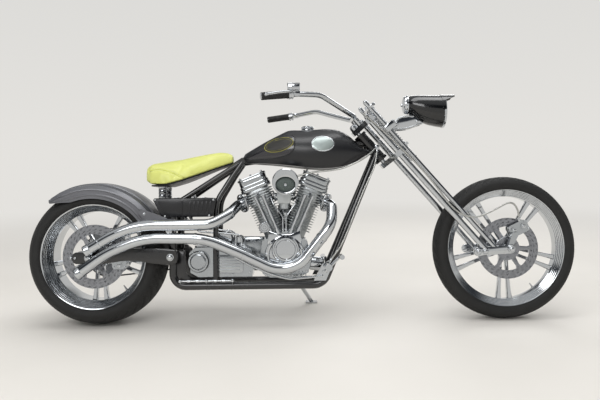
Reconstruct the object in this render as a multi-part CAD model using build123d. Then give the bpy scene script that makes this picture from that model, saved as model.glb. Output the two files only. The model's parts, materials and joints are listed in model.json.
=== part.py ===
from build123d import *
import math
import os

os.makedirs("parts", exist_ok=True)

# Driving dimensions in millimetres, with the bike upright: X to the front, Y to the rider's left, Z up
lean_deg = 5.5
lean = math.radians(lean_deg)
rear_axle_x = -1035
front_axle_x = 1050
running_gap = 0.05

# Wheels: a 20-inch rear wheel and a 23-inch front wheel
rear_tyre_r = 350
rear_crown_r = 230
rear_lip_r = 268
rear_bead_r = 254
rear_tyre_half = 140
rear_lip_half = 126
front_tyre_r = 366
front_crown_r = 95
front_lip_r = 306
front_bead_r = 292
front_tyre_half = 65
front_lip_half = 54
spoke_count = 5

# Both tyres touch the floor once the bike leans, so the axles ride a little high in the upright frame
rear_axle_z = rear_tyre_r + rear_crown_r * (1 / math.cos(lean) - 1)
front_axle_z = front_tyre_r + front_crown_r * (1 / math.cos(lean) - 1)

# Fork: the steering axis leans back by the rake, with the legs ahead of it
rake = math.radians(41.2)
steer_x = 343
steer_z = 921
rear_leg_ahead = 72
front_leg_ahead = 113
leg_y = 110
rear_leg_r = 15
front_leg_r = 12
stem_r = 12.7
neck_r = 30
neck_low = -125
neck_high = 50
fork_plane = Plane(
    origin=(steer_x, 0, steer_z),
    x_dir=(math.cos(rake), 0, math.sin(rake)),
    z_dir=(-math.sin(rake), 0, math.cos(rake)),
)
rocker_back_z = 354
rocker_front_z = 356

# Frame tubes
rail_y = 110
rail_z = 198
rail_r = 19
rail_front_x = 108
upright_x = -642
backbone_r = 22
pivot_z = 350

# Engine: a 45-degree V-twin on a crankcase
crank_x = -84
crank_z = 337
vee_half_deg = 22.5
case_half = 70
deck_height = 118
barrel_top = 300
head_top = 372
rocker_top = 446

# Drive: offset primary on the left, then a belt to the rear wheel
clutch_x = -470
clutch_z = 330
belt_y = 158
belt_width = 24
front_pulley_r = 46
rear_pulley_r = 126

nodes = {}


def leg_point(ahead, height):
    """The X of a fork leg, a set distance ahead of the steering axis, at a height above the floor."""
    along = (height - steer_z - ahead * math.sin(rake)) / math.cos(rake)
    return steer_x + ahead * math.cos(rake) - along * math.sin(rake)


def in_fork(shape):
    """Move a shape from fork coordinates (ahead, left, up the stem) to the bike's."""
    return fork_plane.location * shape


def round_bar(points, radius, bends=None):
    """A round bar or tube along straight runs joined by tangent arcs."""
    path = FilletPolyline(*points, radius=bends) if bends else Line(*points)
    return sweep(Plane(origin=path @ 0, z_dir=path % 0) * Circle(radius), path=path)


def cross_bar(x, z, radius, y_low, y_high):
    """A round bar along Y."""
    return Pos(x, (y_low + y_high) / 2, z) * Rot(90, 0, 0) * Cylinder(radius, y_high - y_low)


def side_plate(outline, y_low, y_high):
    """A plate with an outline of (x, z) points, from y_low to y_high."""
    face = make_face(Polyline(*outline, close=True))
    return extrude(Plane.XZ.offset(-y_high) * face, amount=y_high - y_low)


def turned(rows, x, z):
    """A body turned about an axle: rows of (y, radius)."""
    face = Plane.YZ * make_face(Polyline(*rows, close=True))
    return Pos(x, 0, z) * revolve(face, Axis.Y, 360)


def turned_along_x(rows, z):
    """A body turned about a level line to the front: rows of (x, radius)."""
    face = Plane.XZ * make_face(Polyline(*rows, close=True))
    return Pos(0, 0, z) * revolve(face, Axis.X, 360)


def other_side(shape):
    return mirror(shape, Plane.XZ)


def both_sides(shape):
    return [shape, other_side(shape)]


def ringed_post(core_r, ring_r, height, rings):
    """A coil spring drawn as a solid post with a ring for each turn."""
    step = height / rings
    rows = [(0, 0)]
    for ring in range(rings):
        low = ring * step
        rows += [(core_r, low), (ring_r, low + step * 0.3), (ring_r, low + step * 0.7)]
    rows += [(core_r, height), (0, height)]
    return revolve(Plane.XZ * make_face(Polyline(*rows, close=True)), Axis.Z, 360)


def rounded_block(length, height, corner, y_low, y_high):
    """A block with round corners in side view, centred on X and Z."""
    return extrude(Plane.XZ.offset(-y_high) * RectangleRounded(length, height, corner), amount=y_high - y_low)


def easy_bends(points):
    """The largest bend at each corner of a hose that its two runs leave room for."""
    points = [Vector(*point) for point in points]
    radii = []
    for before, corner, after in zip(points, points[1:], points[2:]):
        half_turn = math.radians((corner - before).get_angle(after - corner) / 2)
        shorter = min((corner - before).length, (after - corner).length)
        radii.append(0.45 * shorter / math.tan(half_turn))
    return radii


def node(name, *shapes):
    solids = []
    for shape in shapes:
        solids.extend(shape.solids())
    nodes[name] = solids


# Tyres: a crown arc, two bulging walls and an open inside
def tyre(outer_r, crown_r, half, bead_r, bead_half, wall, x, z):
    centre = outer_r - crown_r
    shoulder_y = half * 0.86
    shoulder_r = centre + math.sqrt(crown_r ** 2 - shoulder_y ** 2)
    bulge_r = (bead_r + shoulder_r) / 2
    inner_y = shoulder_y - wall
    inner_r = shoulder_r - wall
    crown = ThreePointArc((-shoulder_y, shoulder_r), (0, outer_r), (shoulder_y, shoulder_r))
    right = ThreePointArc((shoulder_y, shoulder_r), (half, bulge_r), (bead_half, bead_r))
    left = ThreePointArc((-bead_half, bead_r), (-half, bulge_r), (-shoulder_y, shoulder_r))
    foot_right = Line((bead_half, bead_r), (bead_half - wall, bead_r))
    foot_left = Line((-bead_half + wall, bead_r), (-bead_half, bead_r))
    inner_right = ThreePointArc((bead_half - wall, bead_r), (half - wall, bulge_r), (inner_y, inner_r))
    inner_left = ThreePointArc((-inner_y, inner_r), (wall - half, bulge_r), (wall - bead_half, bead_r))
    under_crown = Line((inner_y, inner_r), (-inner_y, inner_r))
    edges = [crown, right, foot_right, inner_right, under_crown, inner_left, foot_left, left]
    section = Plane.YZ * make_face(edges)
    return Pos(x, 0, z) * revolve(section, Axis.Y, 360)


# Rims: a barrel stepped ring by ring, five twin-leg spokes and a hub with a bore for the axle
rim_middle_share = 0.4
rim_wall_drop = 28


def rim_outside(lip_r, bead_r, lip_half):
    return [
        (lip_half, lip_r), (lip_half - 7, lip_r), (lip_half - 9, bead_r), (lip_half * 0.62, bead_r - 3),
        (lip_half * 0.5, bead_r - 18), (-lip_half * 0.5, bead_r - 18), (-lip_half * 0.62, bead_r - 3),
        (9 - lip_half, bead_r), (7 - lip_half, lip_r), (-lip_half, lip_r),
    ]


def rim_inside(lip_r, bead_r, lip_half, steps):
    """Rows down one side of the barrel, a ledge and a drop for each ring, from the lip to the middle."""
    lip_inner_r = lip_r - 12
    drop = (lip_inner_r - bead_r + rim_wall_drop) / steps
    sink = lip_half * (1 - rim_middle_share) / steps
    rows = [(lip_half, lip_inner_r)]
    for step in range(steps):
        radius = lip_inner_r - drop * (step + 1)
        rows += [(lip_half - sink * step, radius), (lip_half - sink * (step + 1), radius)]
    return rows


def rim(lip_r, bead_r, lip_half, steps, hub_r, hub_left, hub_right, spoke_half, bore_r, x, z):
    left_side = rim_inside(lip_r, bead_r, lip_half, steps)
    inside = [(-y, radius) for y, radius in left_side] + left_side[::-1]
    body = turned(rim_outside(lip_r, bead_r, lip_half) + inside, x, z)
    body += cross_bar(x, z, hub_r, -hub_right, hub_left)
    foot_r = bead_r - 20
    for leg in (-1, 1):
        outline = [
            (leg * 5, hub_r * 0.7), (leg * 26, hub_r * 0.7), (leg * 45, foot_r), (leg * 16, foot_r),
        ]
        for index in range(spoke_count):
            turn = -90 + index * 360 / spoke_count
            spoke = side_plate(outline, -spoke_half, spoke_half)
            body += Pos(x, 0, z) * Rot(0, -turn + 90, 0) * spoke
    body -= cross_bar(x, z, bore_r, -hub_right - 1, hub_left + 1)
    return body


rear_axle_r = 12.5
front_axle_r = 10
rear_hub_right = 96
rear_hub_left = 144
front_hub_right = 70
front_hub_left = 78
rear_rim = rim(rear_lip_r, rear_bead_r, rear_lip_half, 5, 52, rear_hub_left, rear_hub_right, 22,
               rear_axle_r + running_gap, rear_axle_x, rear_axle_z)
front_rim = rim(front_lip_r, front_bead_r, front_lip_half, 3, 40, front_hub_left, front_hub_right, 15,
                front_axle_r + running_gap, front_axle_x, front_axle_z)
node("front_rim", front_rim)


def rim_core(lip_r, bead_r, lip_half, x, z):
    """The rim's outside filled solid, to seat the tyre on it."""
    rows = rim_outside(lip_r, bead_r, lip_half)
    return turned(rows + [(-lip_half, bead_r - 40), (lip_half, bead_r - 40)], x, z)


rear_tyre = tyre(rear_tyre_r, rear_crown_r, rear_tyre_half, rear_bead_r, rear_lip_half - 10, 11,
                 rear_axle_x, rear_axle_z)
rear_tyre -= rim_core(rear_lip_r, rear_bead_r, rear_lip_half, rear_axle_x, rear_axle_z)
front_tyre = tyre(front_tyre_r, front_crown_r, front_tyre_half, front_bead_r, front_lip_half - 8, 9,
                  front_axle_x, front_axle_z)
front_tyre -= rim_core(front_lip_r, front_bead_r, front_lip_half, front_axle_x, front_axle_z)
# What the rim cuts loose beside its lips is not part of the tyre
node("rear_tyre", rear_tyre.solids().sort_by(SortBy.VOLUME)[-1])
node("front_tyre", front_tyre.solids().sort_by(SortBy.VOLUME)[-1])

# Discs and the rear pulley, bolted to the hubs
disc_thick = 5
rear_disc_y = -rear_hub_right - disc_thick
front_disc_y = -front_hub_right - disc_thick


def disc(outer_r, inner_r, window_ring_r, window_r, y_low, x, z):
    ring = cross_bar(x, z, outer_r, y_low, y_low + disc_thick)
    ring -= cross_bar(x, z, inner_r, y_low - 1, y_low + disc_thick + 1)
    for index in range(disc_windows):
        angle = 2 * math.pi * (index + 0.5) / disc_windows
        ring -= cross_bar(x + window_ring_r * math.cos(angle), z + window_ring_r * math.sin(angle), window_r,
                          y_low - 1, y_low + disc_thick + 1)
    return ring


disc_windows = 6
node("rear_disc", disc(160, 34, 90, 21, rear_disc_y, rear_axle_x, rear_axle_z))
node("front_disc", disc(155, 26, 86, 24, front_disc_y, front_axle_x, front_axle_z))
belt_low = belt_y - belt_width / 2
belt_high = belt_y + belt_width / 2
rear_pulley = cross_bar(rear_axle_x, rear_axle_z, rear_pulley_r, belt_low, belt_high)
rear_pulley -= cross_bar(rear_axle_x, rear_axle_z, 98, belt_low + 8, belt_high + 1)
rear_pulley += cross_bar(rear_axle_x, rear_axle_z, 46, rear_hub_left, belt_high)
rear_pulley -= cross_bar(rear_axle_x, rear_axle_z, rear_axle_r + running_gap, 0, 200)
rear_pulley -= cross_bar(rear_axle_x, rear_axle_z, 60, 0, rear_hub_left)
node("rear_rim", rear_rim + rear_pulley)

# Frame: neck, backbone, downtubes, cradle rails, uprights and the tubes under the seat
neck = in_fork(Pos(0, 0, (neck_low + neck_high) / 2) * Cylinder(neck_r, neck_high - neck_low))
cup_height = 14
for cup_z in (neck_low + cup_height / 2, neck_high - cup_height / 2):
    neck += in_fork(Pos(0, 0, cup_z) * Cylinder(neck_r + 5, cup_height))

backbone_end = (-296, 0, 824)
backbone = round_bar([(steer_x + 12, 0, steer_z - 4), backbone_end], backbone_r)
backbone += cross_bar(backbone_end[0], backbone_end[2], 15, -70, 70)
backbone += neck
backbone -= in_fork(Cylinder(stem_r + running_gap, 400))
node("backbone", backbone)

rail_corner = Vector(rail_front_x, rail_y, rail_z)
neck_foot = Vector(396, 26, 866)
rail_start = rail_corner + (neck_foot - rail_corner) * 0.2
downtube = round_bar([rail_start, neck_foot], rail_r) - neck
node("downtubes", downtube, other_side(downtube))

rail_end = Vector(-540, rail_y, rail_z)
lower_rail = round_bar([rail_start, rail_corner, rail_end], rail_r, [75])
upright_top = Vector(upright_x, rail_y, 622)
upright = round_bar([rail_end, (upright_x, rail_y, rail_z), upright_top], rail_r, [65])
upright += cross_bar(upright_x, pivot_z, 27, rail_y - 22, rail_y + 22)
pivot_r = 12
node("lower_rails", lower_rail, other_side(lower_rail))

seat_post = round_bar(
    [(-296, 60, 818), (-345, 70, 748), (-425, 96, 620), (-430, 104, 400), (-430, 110, 198)],
    13, [90, 150, 400])
seat_post = seat_post - backbone - lower_rail
node("seat_post_tubes", seat_post, other_side(seat_post))

seat_rail = round_bar([(backbone_end[0], 52, backbone_end[2]), (upright_x, rail_y, 600)], 13)
seat_rail = seat_rail - backbone - upright - seat_post
node("seat_rails", seat_rail, other_side(seat_rail))

# Swingarm: a pivot shaft through the uprights, two box arms and slotted axle plates
arm_thick = 28
arm_in_right = 150
arm_in_left = 176
arm_outline = [
    (upright_x + 30, pivot_z + 40), (-800, pivot_z + 48), (-1000, rear_axle_z + 40), (-1105, rear_axle_z + 34),
    (-1118, rear_axle_z - 26), (-1000, rear_axle_z - 38), (-760, pivot_z - 46), (upright_x + 30, pivot_z - 40),
]
axle_right = -arm_in_right - arm_thick
axle_left = arm_in_left + arm_thick
arms = []
for y_low, y_high in ((axle_right, -arm_in_right), (arm_in_left, axle_left)):
    arm = side_plate(arm_outline, y_low, y_high)
    arm -= cross_bar(upright_x, pivot_z, pivot_r, y_low - 1, y_high + 1)
    arm -= cross_bar(rear_axle_x, rear_axle_z, rear_axle_r, y_low - 1, y_high + 1)
    arms.append(arm)
node("swingarm", *arms)
uprights = upright + other_side(upright)
uprights += cross_bar(upright_x, pivot_z, pivot_r, axle_right - 4, axle_left + 4)
uprights += cross_bar(upright_x, pivot_z, 20, rail_y + 22, arm_in_left)
uprights += cross_bar(upright_x, pivot_z, 20, -arm_in_right, -rail_y - 22)
node("rear_uprights", uprights)

# columns: radius, y low, y high
rear_axle_rows = [
    (rear_axle_r, axle_right - 14, axle_left + 14),
    (20, axle_right - 12, axle_right),
    (20, axle_left, axle_left + 12),
    (20, -arm_in_right, rear_disc_y - 2),
    (20, belt_high + 2, arm_in_left),
]
rear_axle = cross_bar(rear_axle_x, rear_axle_z, *rear_axle_rows[0])
for row in rear_axle_rows[1:]:
    rear_axle += cross_bar(rear_axle_x, rear_axle_z, *row)
node("rear_axle", rear_axle)

# Rear fender: a ridged shell close round the tyre, its skirts drawn in towards a thin ducktail
fender_front_deg = 33
fender_turned_deg = 110
fender_half = 154
fender_crown_r = 372
fender_skirt_r = 290
fender_shoulder_r = 343
fender_thick = 5
# columns: half width, radius, from the skirt's edge over two side beads and a raised centre panel to the crown
fender_side_rows = [
    (fender_half, fender_skirt_r), (fender_half, 302), (fender_half + 3, 306), (fender_half + 3, 311),
    (fender_half, 315), (fender_half, 330), (fender_half + 3, 333), (fender_half + 2, 338),
    (fender_half - 3, fender_shoulder_r), (fender_half - 14, 354), (96, 362), (92, 367), (60, 369),
]
# the same for the inside, which is plain
fender_inner_rows = [
    (fender_half - fender_thick, fender_skirt_r), (fender_half - fender_thick, 330), (fender_half - 7, 336),
    (fender_half - 16, 349), (96, 357), (60, 364),
]
# columns: angle round the axle from the front, radius of the skirt's edge, along the tail
fender_tail_rows = [(fender_turned_deg, fender_skirt_r), (118.5, 308), (127, 334)]


def fender_profile(side_rows, crown_r, skirt_r):
    """The rows of both sides, with the skirts squeezed up to an edge at skirt_r."""
    squeeze = (fender_shoulder_r - skirt_r) / (fender_shoulder_r - fender_skirt_r)
    half = []
    for y, r in side_rows:
        half.append((y, r if r >= fender_shoulder_r else skirt_r + (r - fender_skirt_r) * squeeze))
    return [(-y, r) for y, r in half] + [(0, crown_r)] + half[::-1]


def fender_section(angle_deg, skirt_r):
    outside = fender_profile(fender_side_rows, fender_crown_r, skirt_r)
    inside = fender_profile(fender_inner_rows, fender_crown_r - fender_thick, skirt_r)
    face = Plane.YZ * make_face(Polyline(*outside, *reversed(inside), close=True))
    return Rot(0, 90 - angle_deg, 0) * face


fender = revolve(fender_section(fender_front_deg, fender_skirt_r), Axis.Y, fender_front_deg - fender_turned_deg)
fender += loft([fender_section(*row) for row in fender_tail_rows], ruled=True)
rear_fender = Pos(rear_axle_x, 0, rear_axle_z) * fender

# Fender bracket: plates from the uprights that rest on the fender's side beads
fender_disc = cross_bar(rear_axle_x, rear_axle_z, fender_crown_r, -fender_half - 3, fender_half + 3)
bracket_in = fender_half - fender_thick
bracket_out = fender_half + 6
bracket = side_plate([(-661, 540), (-661, 480), (-742, 520), (-800, 560), (-790, 590)], bracket_in, bracket_out)
bracket += side_plate([(-625, 536), (-625, 470), (-661, 480), (-661, 536)], rail_y + rail_r, bracket_out)
bracket -= fender_disc
node("rear_fender", rear_fender, *both_sides(bracket))

# Fuel tank: a stretched teardrop over the backbone, open underneath for it
# columns: x, bottom z, top z, half width
tank_rows = [
    (-325, 822, 842, 22),
    (-215, 812, 926, 78),
    (-70, 800, 986, 118),
    (120, 782, 990, 136),
    (232, 796, 968, 113),
    (290, 820, 922, 88),
    (362, 864, 888, 48),
]


def tank_section(x, low, high, half):
    side_z = low + (high - low) * 0.35
    edges = [
        Line((-half * 0.8, low), (half * 0.8, low)),
        ThreePointArc((half * 0.8, low), (half, side_z), (half * 0.72, low + (high - low) * 0.8)),
        ThreePointArc((half * 0.72, low + (high - low) * 0.8), (0, high), (-half * 0.72, low + (high - low) * 0.8)),
        ThreePointArc((-half * 0.72, low + (high - low) * 0.8), (-half, side_z), (-half * 0.8, low)),
    ]
    return Pos(x, 0, 0) * (Plane.YZ * make_face(edges))


tank = loft([tank_section(*row) for row in tank_rows])
tunnel_half = backbone_r + 4
tank -= round_bar([(steer_x + 60, 0, steer_z + 3), (-400, 0, 809)], tunnel_half)
tank -= side_plate([(-400, 600), (403, 600), (403, 924), (-400, 809)], -tunnel_half, tunnel_half)
tank -= in_fork(Pos(0, 0, -40) * Cylinder(neck_r + 26, 260))
tank -= cross_bar(backbone_end[0], backbone_end[2], 19, -90, 90)
# What the cuts leave loose at the tail is not part of the tank
tank = tank.solids().sort_by(SortBy.VOLUME)[-1]
node("fuel_tank", tank)
cap_x = 40
cap = Pos(cap_x, 0, 994) * Cylinder(32, 24)
cap -= tank
node("tank_cap", cap)

# Seat: a thin pan and a cushion that rises to its nose
seat_under = [(-745, 706), (-675, 708), (-600, 728), (-500, 764), (-425, 792), (-345, 818)]
seat_top = [(-345, 842), (-362, 858), (-408, 864), (-484, 848), (-561, 830), (-688, 812), (-752, 808), (-778, 786),
            (-778, 735)]
pan_drop = 7
pan_outline = seat_under + [(x, z - pan_drop) for x, z in reversed(seat_under)]
seat_plan_rows = [
    (-778, -70), (-740, -118), (-660, -134), (-560, -112), (-460, -72), (-380, -52), (-345, -46),
    (-345, 46), (-380, 52), (-460, 72), (-560, 112), (-660, 134), (-740, 118), (-778, 70),
]
seat_plan = extrude(Pos(0, 0, 600) * make_face(Polyline(*seat_plan_rows, close=True)), amount=400)
cushion = side_plate(seat_under + seat_top, -150, 150) & seat_plan
node("seat_cushion", cushion)
pan = side_plate(pan_outline, -150, 150) & seat_plan
nose_tab = side_plate([(-345, 811), (-345, 818), (-300, 846), (-296, 839)], -20, 20)
pan += nose_tab
pan = pan - backbone - tank
node("seat_pan", pan)

# Seat springs: two coil springs, drawn as a ringed post, between the oil tank and the pan
oil_tank_top = 640
seat_spring = Pos(-700, 62, oil_tank_top) * ringed_post(14, 22, 699 - oil_tank_top, 5)
node("seat_springs", seat_spring, other_side(seat_spring))

# Oil tank between the uprights, and the covers outside them
oil_outline = [(-672, 545), (-452, 545), (-448, oil_tank_top), (-740, oil_tank_top)]
oil_tank = side_plate(oil_outline, -84, 84)
node("oil_tank", oil_tank)
cover_outline = [(-688, 542), (-440, 542), (-418, 640), (-738, 640)]
cover = side_plate(cover_outline, rail_y + rail_r + 3, rail_y + rail_r + 16)
node("side_covers", *both_sides(cover))


# Engine: finned barrels and heads along two axes in a V
def along_cylinder(turn_deg, shape):
    """Move a shape from cylinder coordinates, up the barrel from the crank, to the bike's."""
    return Pos(crank_x, 0, crank_z) * Rot(0, turn_deg, 0) * shape


def rounded_plate(length, width, corner, low, high):
    return extrude(Pos(0, 0, low) * RectangleRounded(length, width, corner), amount=high - low)


case_outline = [
    (30, 417.5), (crank_x, 464.7), (-198, 417.5), (-214, 300), (-196, 250), (-160, 232), (-10, 232), (36, 256),
    (52, 330),
]
case = side_plate(case_outline, -case_half, case_half)
case += cross_bar(crank_x, crank_z, 112, -case_half, case_half + 8)
offset_block_y = 176
case += cross_bar(crank_x, crank_z, 62, case_half, offset_block_y)
node("crankcase", case)

barrels = []
heads = []
rockers = []
fin_pitch = 19
for turn in (vee_half_deg, -vee_half_deg):
    side = 1 if turn > 0 else -1
    keep = side_plate([(crank_x + side * 1.5, 300), (crank_x + side * 600, 300), (crank_x + side * 600, 900),
                       (crank_x + side * 1.5, 900)], -200, 200)
    barrel = Pos(0, 0, (deck_height + barrel_top) / 2) * Cylinder(54, barrel_top - deck_height)
    for level in range(8):
        low = 150 + level * fin_pitch
        barrel += rounded_plate(146, 136, 44, low, low + 5)
    barrels.append(along_cylinder(turn, barrel) & keep)
    head = rounded_plate(132, 128, 40, barrel_top, head_top)
    for level in range(3):
        low = barrel_top + 6 + level * fin_pitch
        head += rounded_plate(158, 144, 36, low, low + 6)
    heads.append(along_cylinder(turn, head))
    box = rounded_plate(160, 132, 30, head_top, head_top + 34)
    box += rounded_plate(146, 118, 28, head_top + 34, rocker_top - 10)
    box += rounded_plate(152, 124, 30, rocker_top - 10, rocker_top)
    rockers.append(along_cylinder(turn, box))
node("cylinders", *[barrel + head for barrel, head in zip(barrels, heads)])
node("rocker_boxes", *rockers)

# Cam cover on the right, with a raised round cover, and lifter blocks for the pushrod tubes
cam_y = -case_half
# columns: y, radius, of the cover and of the raised round cover on it
cam_rows = [(cam_y, 0), (cam_y, 100), (-104, 100), (-108, 96), (-108, 82), (-112, 78), (-112, 0)]
cam_raised_rows = [
    (-100, 0), (-100, 70), (-117, 70), (-122, 65), (-122, 57), (-118, 55), (-118, 49), (-122, 46), (-124, 28),
    (-124, 0),
]
raised_x = -79
raised_z = 376
cam_cover = turned(cam_rows, crank_x, crank_z + 12)
cam_cover += turned(cam_raised_rows, raised_x, raised_z)
cam_cover += side_plate([(-170, 400), (2, 400), (-6, 470), (-56, 452), (-112, 452), (-162, 470)], cam_y - 34, cam_y)
node("cam_cover", cam_cover)

tube_y = cam_y - 20
# columns: top x, top z, bottom x, bottom z
pushrod_rows = [
    (-228, 640, -150, 464),
    (-190, 648, -112, 455),
    (20, 648, -58, 455),
    (58, 640, -20, 464),
]
pushrods = []
for top_x, top_z, low_x, low_z in pushrod_rows:
    rod = round_bar([(low_x, tube_y, low_z), (top_x, tube_y, top_z)], 9)
    pushrods.append(rod - cam_cover)
node("pushrod_tubes", *pushrods)

# Carburettor between the cylinders, with the round air cleaner outboard of it
carburettor = cross_bar(crank_x, 640, 26, -case_half - 40, 10)
carburettor += Pos(crank_x, -70, 640) * Box(60, 44, 70)
carburettor += side_plate([(-116, 606), (-52, 606), (-44, 700), (-124, 700)], -case_half - 40, -92)
node("carburettor", carburettor - heads[0] - heads[1])
air_x = -76
air_z = 714
air_cleaner = turned([(-110, 0), (-110, 48), (-122, 64), (-160, 66), (-168, 62), (-168, 0)], air_x, air_z)
mouth_depth = 16
mouth = Plane.XZ.offset(168 - mouth_depth) * Pos(air_x, air_z - 14) * Ellipse(48, 37)
air_cleaner -= extrude(mouth, amount=mouth_depth + 1)
node("air_cleaner", air_cleaner)

# Exhaust pipes: each from its port, round the right side and back past the rear wheel
pipe_r = 27
pipe_wall = 3
front_pipe_points = [
    (80, -20, 634), (156, -92, 594), (150, -158, 500), (5, -168, 319), (-100, -168, 266), (-290, -180, 360),
    (-470, -205, 440), (-760, -216, 446), (-930, -216, 384), (-1082, -216, 276),
]
front_pipe_bends = [40, 120, 130, 180, 400, 300, 400, 500]
rear_pipe_points = [
    (-248, -20, 634), (-318, -92, 598), (-360, -172, 552), (-440, -206, 508), (-620, -216, 507),
    (-780, -216, 508), (-900, -216, 468), (-1040, -216, 385),
]
rear_pipe_bends = [50, 90, 110, 600, 450, 500]


def exhaust(points, bends):
    pipe = round_bar(points, pipe_r, bends)
    last = Vector(*points[-1])
    back = (Vector(*points[-2]) - last).normalized()
    bore = round_bar([last - back, last + back * 120], pipe_r - pipe_wall)
    return pipe - bore


front_pipe = exhaust(front_pipe_points, front_pipe_bends) - heads[0] - barrels[0]
rear_pipe = exhaust(rear_pipe_points, rear_pipe_bends) - heads[1] - barrels[1]
node("front_exhaust", front_pipe)
node("rear_exhaust", rear_pipe)

# Gearbox behind the engine, with its round cover on the right
gearbox = side_plate([(-560, 262), (-520, 240), (-250, 240), (-240, 300), (-250, 372), (-300, 392), (-540, 388),
                      (-566, 360)], -84, 84)
gearbox += cross_bar(clutch_x, clutch_z, 22, 84, belt_low - 2)
# columns: y, radius, of the round cover
gearbox_cover_rows = [(-84, 0), (-84, 54), (-108, 54), (-114, 49), (-114, 41), (-118, 39), (-122, 34), (-122, 0)]
gearbox_cover_x = -517
gearbox_cover_z = 319
gearbox += turned(gearbox_cover_rows, gearbox_cover_x, gearbox_cover_z)
gearbox += cross_bar(clutch_x, clutch_z, front_pulley_r, belt_low - 2, belt_high + 2)
gearbox += cross_bar(clutch_x, clutch_z, 24, belt_high + 2, offset_block_y)
node("gearbox", gearbox)

# Primary: a long oval cover outboard of the belt
primary = cross_bar(crank_x, crank_z, 88, offset_block_y, offset_block_y + 52)
primary += cross_bar(clutch_x, clutch_z, 100, offset_block_y, offset_block_y + 52)
primary += side_plate([(crank_x, crank_z + 88), (clutch_x, clutch_z + 100), (clutch_x, clutch_z - 100),
                       (crank_x, crank_z - 88)], offset_block_y, offset_block_y + 52)
primary += cross_bar(clutch_x, clutch_z, 70, offset_block_y + 52, offset_block_y + 64)
node("primary_cover", primary)

# Belt: a fixed loop that just clears the wheel's own pulley
belt_gap = 0.4
belt_thick = 6
belt_inner_r = (front_pulley_r, rear_pulley_r + belt_gap)
pulley_distance = math.hypot(rear_axle_x - clutch_x, rear_axle_z - clutch_z)
belt_slope = math.atan2(rear_axle_z - clutch_z, clutch_x - rear_axle_x)
wrap = math.asin((belt_inner_r[1] - belt_inner_r[0]) / pulley_distance)


def belt_loop(extra, y_low, y_high):
    """The area inside a belt round both pulleys: two discs and the flank between their tangent points."""
    corners = []
    for side in (1, -1):
        angle = -belt_slope + side * (math.pi / 2 - wrap)
        direction = (math.cos(angle), math.sin(angle))
        radius_front = belt_inner_r[0] + extra
        radius_rear = belt_inner_r[1] + extra
        front = (clutch_x + radius_front * direction[0], clutch_z + radius_front * direction[1])
        rear = (rear_axle_x + radius_rear * direction[0], rear_axle_z + radius_rear * direction[1])
        corners.append((front, rear))
    flank = [corners[0][0], corners[0][1], corners[1][1], corners[1][0]]
    loop = side_plate(flank, y_low, y_high)
    loop += cross_bar(clutch_x, clutch_z, belt_inner_r[0] + extra, y_low, y_high)
    loop += cross_bar(rear_axle_x, rear_axle_z, belt_inner_r[1] + extra, y_low, y_high)
    return loop


belt = belt_loop(belt_thick, belt_low, belt_high) - belt_loop(0, belt_low - 1, belt_high + 1)
node("drive_belt", belt)

# Rear caliper over the disc, on a bracket from the swingarm
caliper_gap = 5
caliper_y_in = rear_disc_y + disc_thick + caliper_gap
caliper_y_out = rear_disc_y - caliper_gap
caliper_x = -905
caliper_z = 338
rear_caliper = Pos(caliper_x, 0, caliper_z) * rounded_block(70, 96, 16, caliper_y_out - 26, caliper_y_in + 14)
rear_caliper -= cross_bar(rear_axle_x, rear_axle_z, 166, caliper_y_out, caliper_y_in)
rear_caliper += cross_bar(caliper_x, caliper_z, 20, -arm_in_right, caliper_y_out - 26)
for piston_z in (caliper_z - 30, caliper_z + 30):
    rear_caliper += cross_bar(caliper_x, piston_z, 15, caliper_y_out - 30, caliper_y_out - 26)
node("rear_caliper", rear_caliper)

# Foot controls: a bracket on each downtube's foot, a peg and a pedal
control_bracket = side_plate([(60, 222), (120, 222), (150, 290), (135, 320), (100, 300)], rail_y + rail_r - 6,
                             rail_y + rail_r + 8)
control_bracket -= lower_rail
control_bracket -= downtube
peg_x = 126
peg_z = 296
peg_root = Vector(peg_x, 190, peg_z)
peg_end = Vector(peg_x, 300, peg_z + 6)
peg_r = 17
peg = cross_bar(peg_x, peg_z, 9, rail_y + rail_r + 8, 194) + round_bar([peg_root, peg_end], peg_r)
pedal = round_bar([(112, 152, 262), (190, 205, 350), (190, 268, 350)], 7, [40])
pedal += cross_bar(190, 350, 12, 225, 290)
pedal += cross_bar(112, 262, 12, rail_y + rail_r + 8, 160)
control = control_bracket + peg + pedal
right_control = other_side(control)

# Brake rod along the right rail
brake_rod = round_bar([(106, -142, 246), (-60, -150, 232), (-150, -150, 258), (-250, -150, 300), (-330, -150, 345)],
                      6, [160, 120, 300])
node("foot_controls", control, other_side(control) + brake_rod)

# Triple clamps and stem: the part of the fork that turns in the neck
lower_clamp_z = -150
upper_clamp_z = 72
clamp_thick = 26


def clamp_plate(level, reach):
    wing_y = leg_y + 22
    outline = [(-26, -28), (-26, 28), (46, wing_y), (reach, wing_y), (reach, -wing_y), (46, -wing_y)]
    plate = extrude(Pos(0, 0, level - clamp_thick / 2) * make_face(Polyline(*outline, close=True)),
                    amount=clamp_thick)
    return plate


clamps = clamp_plate(lower_clamp_z, 94) + clamp_plate(upper_clamp_z, 94)
clamps += Pos(0, 0, (lower_clamp_z + upper_clamp_z) / 2) * Cylinder(stem_r, upper_clamp_z - lower_clamp_z)
clamps += Pos(0, 0, upper_clamp_z + clamp_thick / 2 + 6) * Cylinder(20, 12)
leg_low_z = (rocker_back_z - steer_z - rear_leg_ahead * math.sin(rake)) / math.cos(rake)
front_leg_low_z = (rocker_front_z - steer_z - front_leg_ahead * math.sin(rake)) / math.cos(rake)
rear_leg_high_z = upper_clamp_z + clamp_thick / 2 + 8
rear_leg = Pos(rear_leg_ahead, leg_y, (leg_low_z + rear_leg_high_z) / 2) * Cylinder(
    rear_leg_r, rear_leg_high_z - leg_low_z)
clamps = clamps - rear_leg - other_side(rear_leg)

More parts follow.
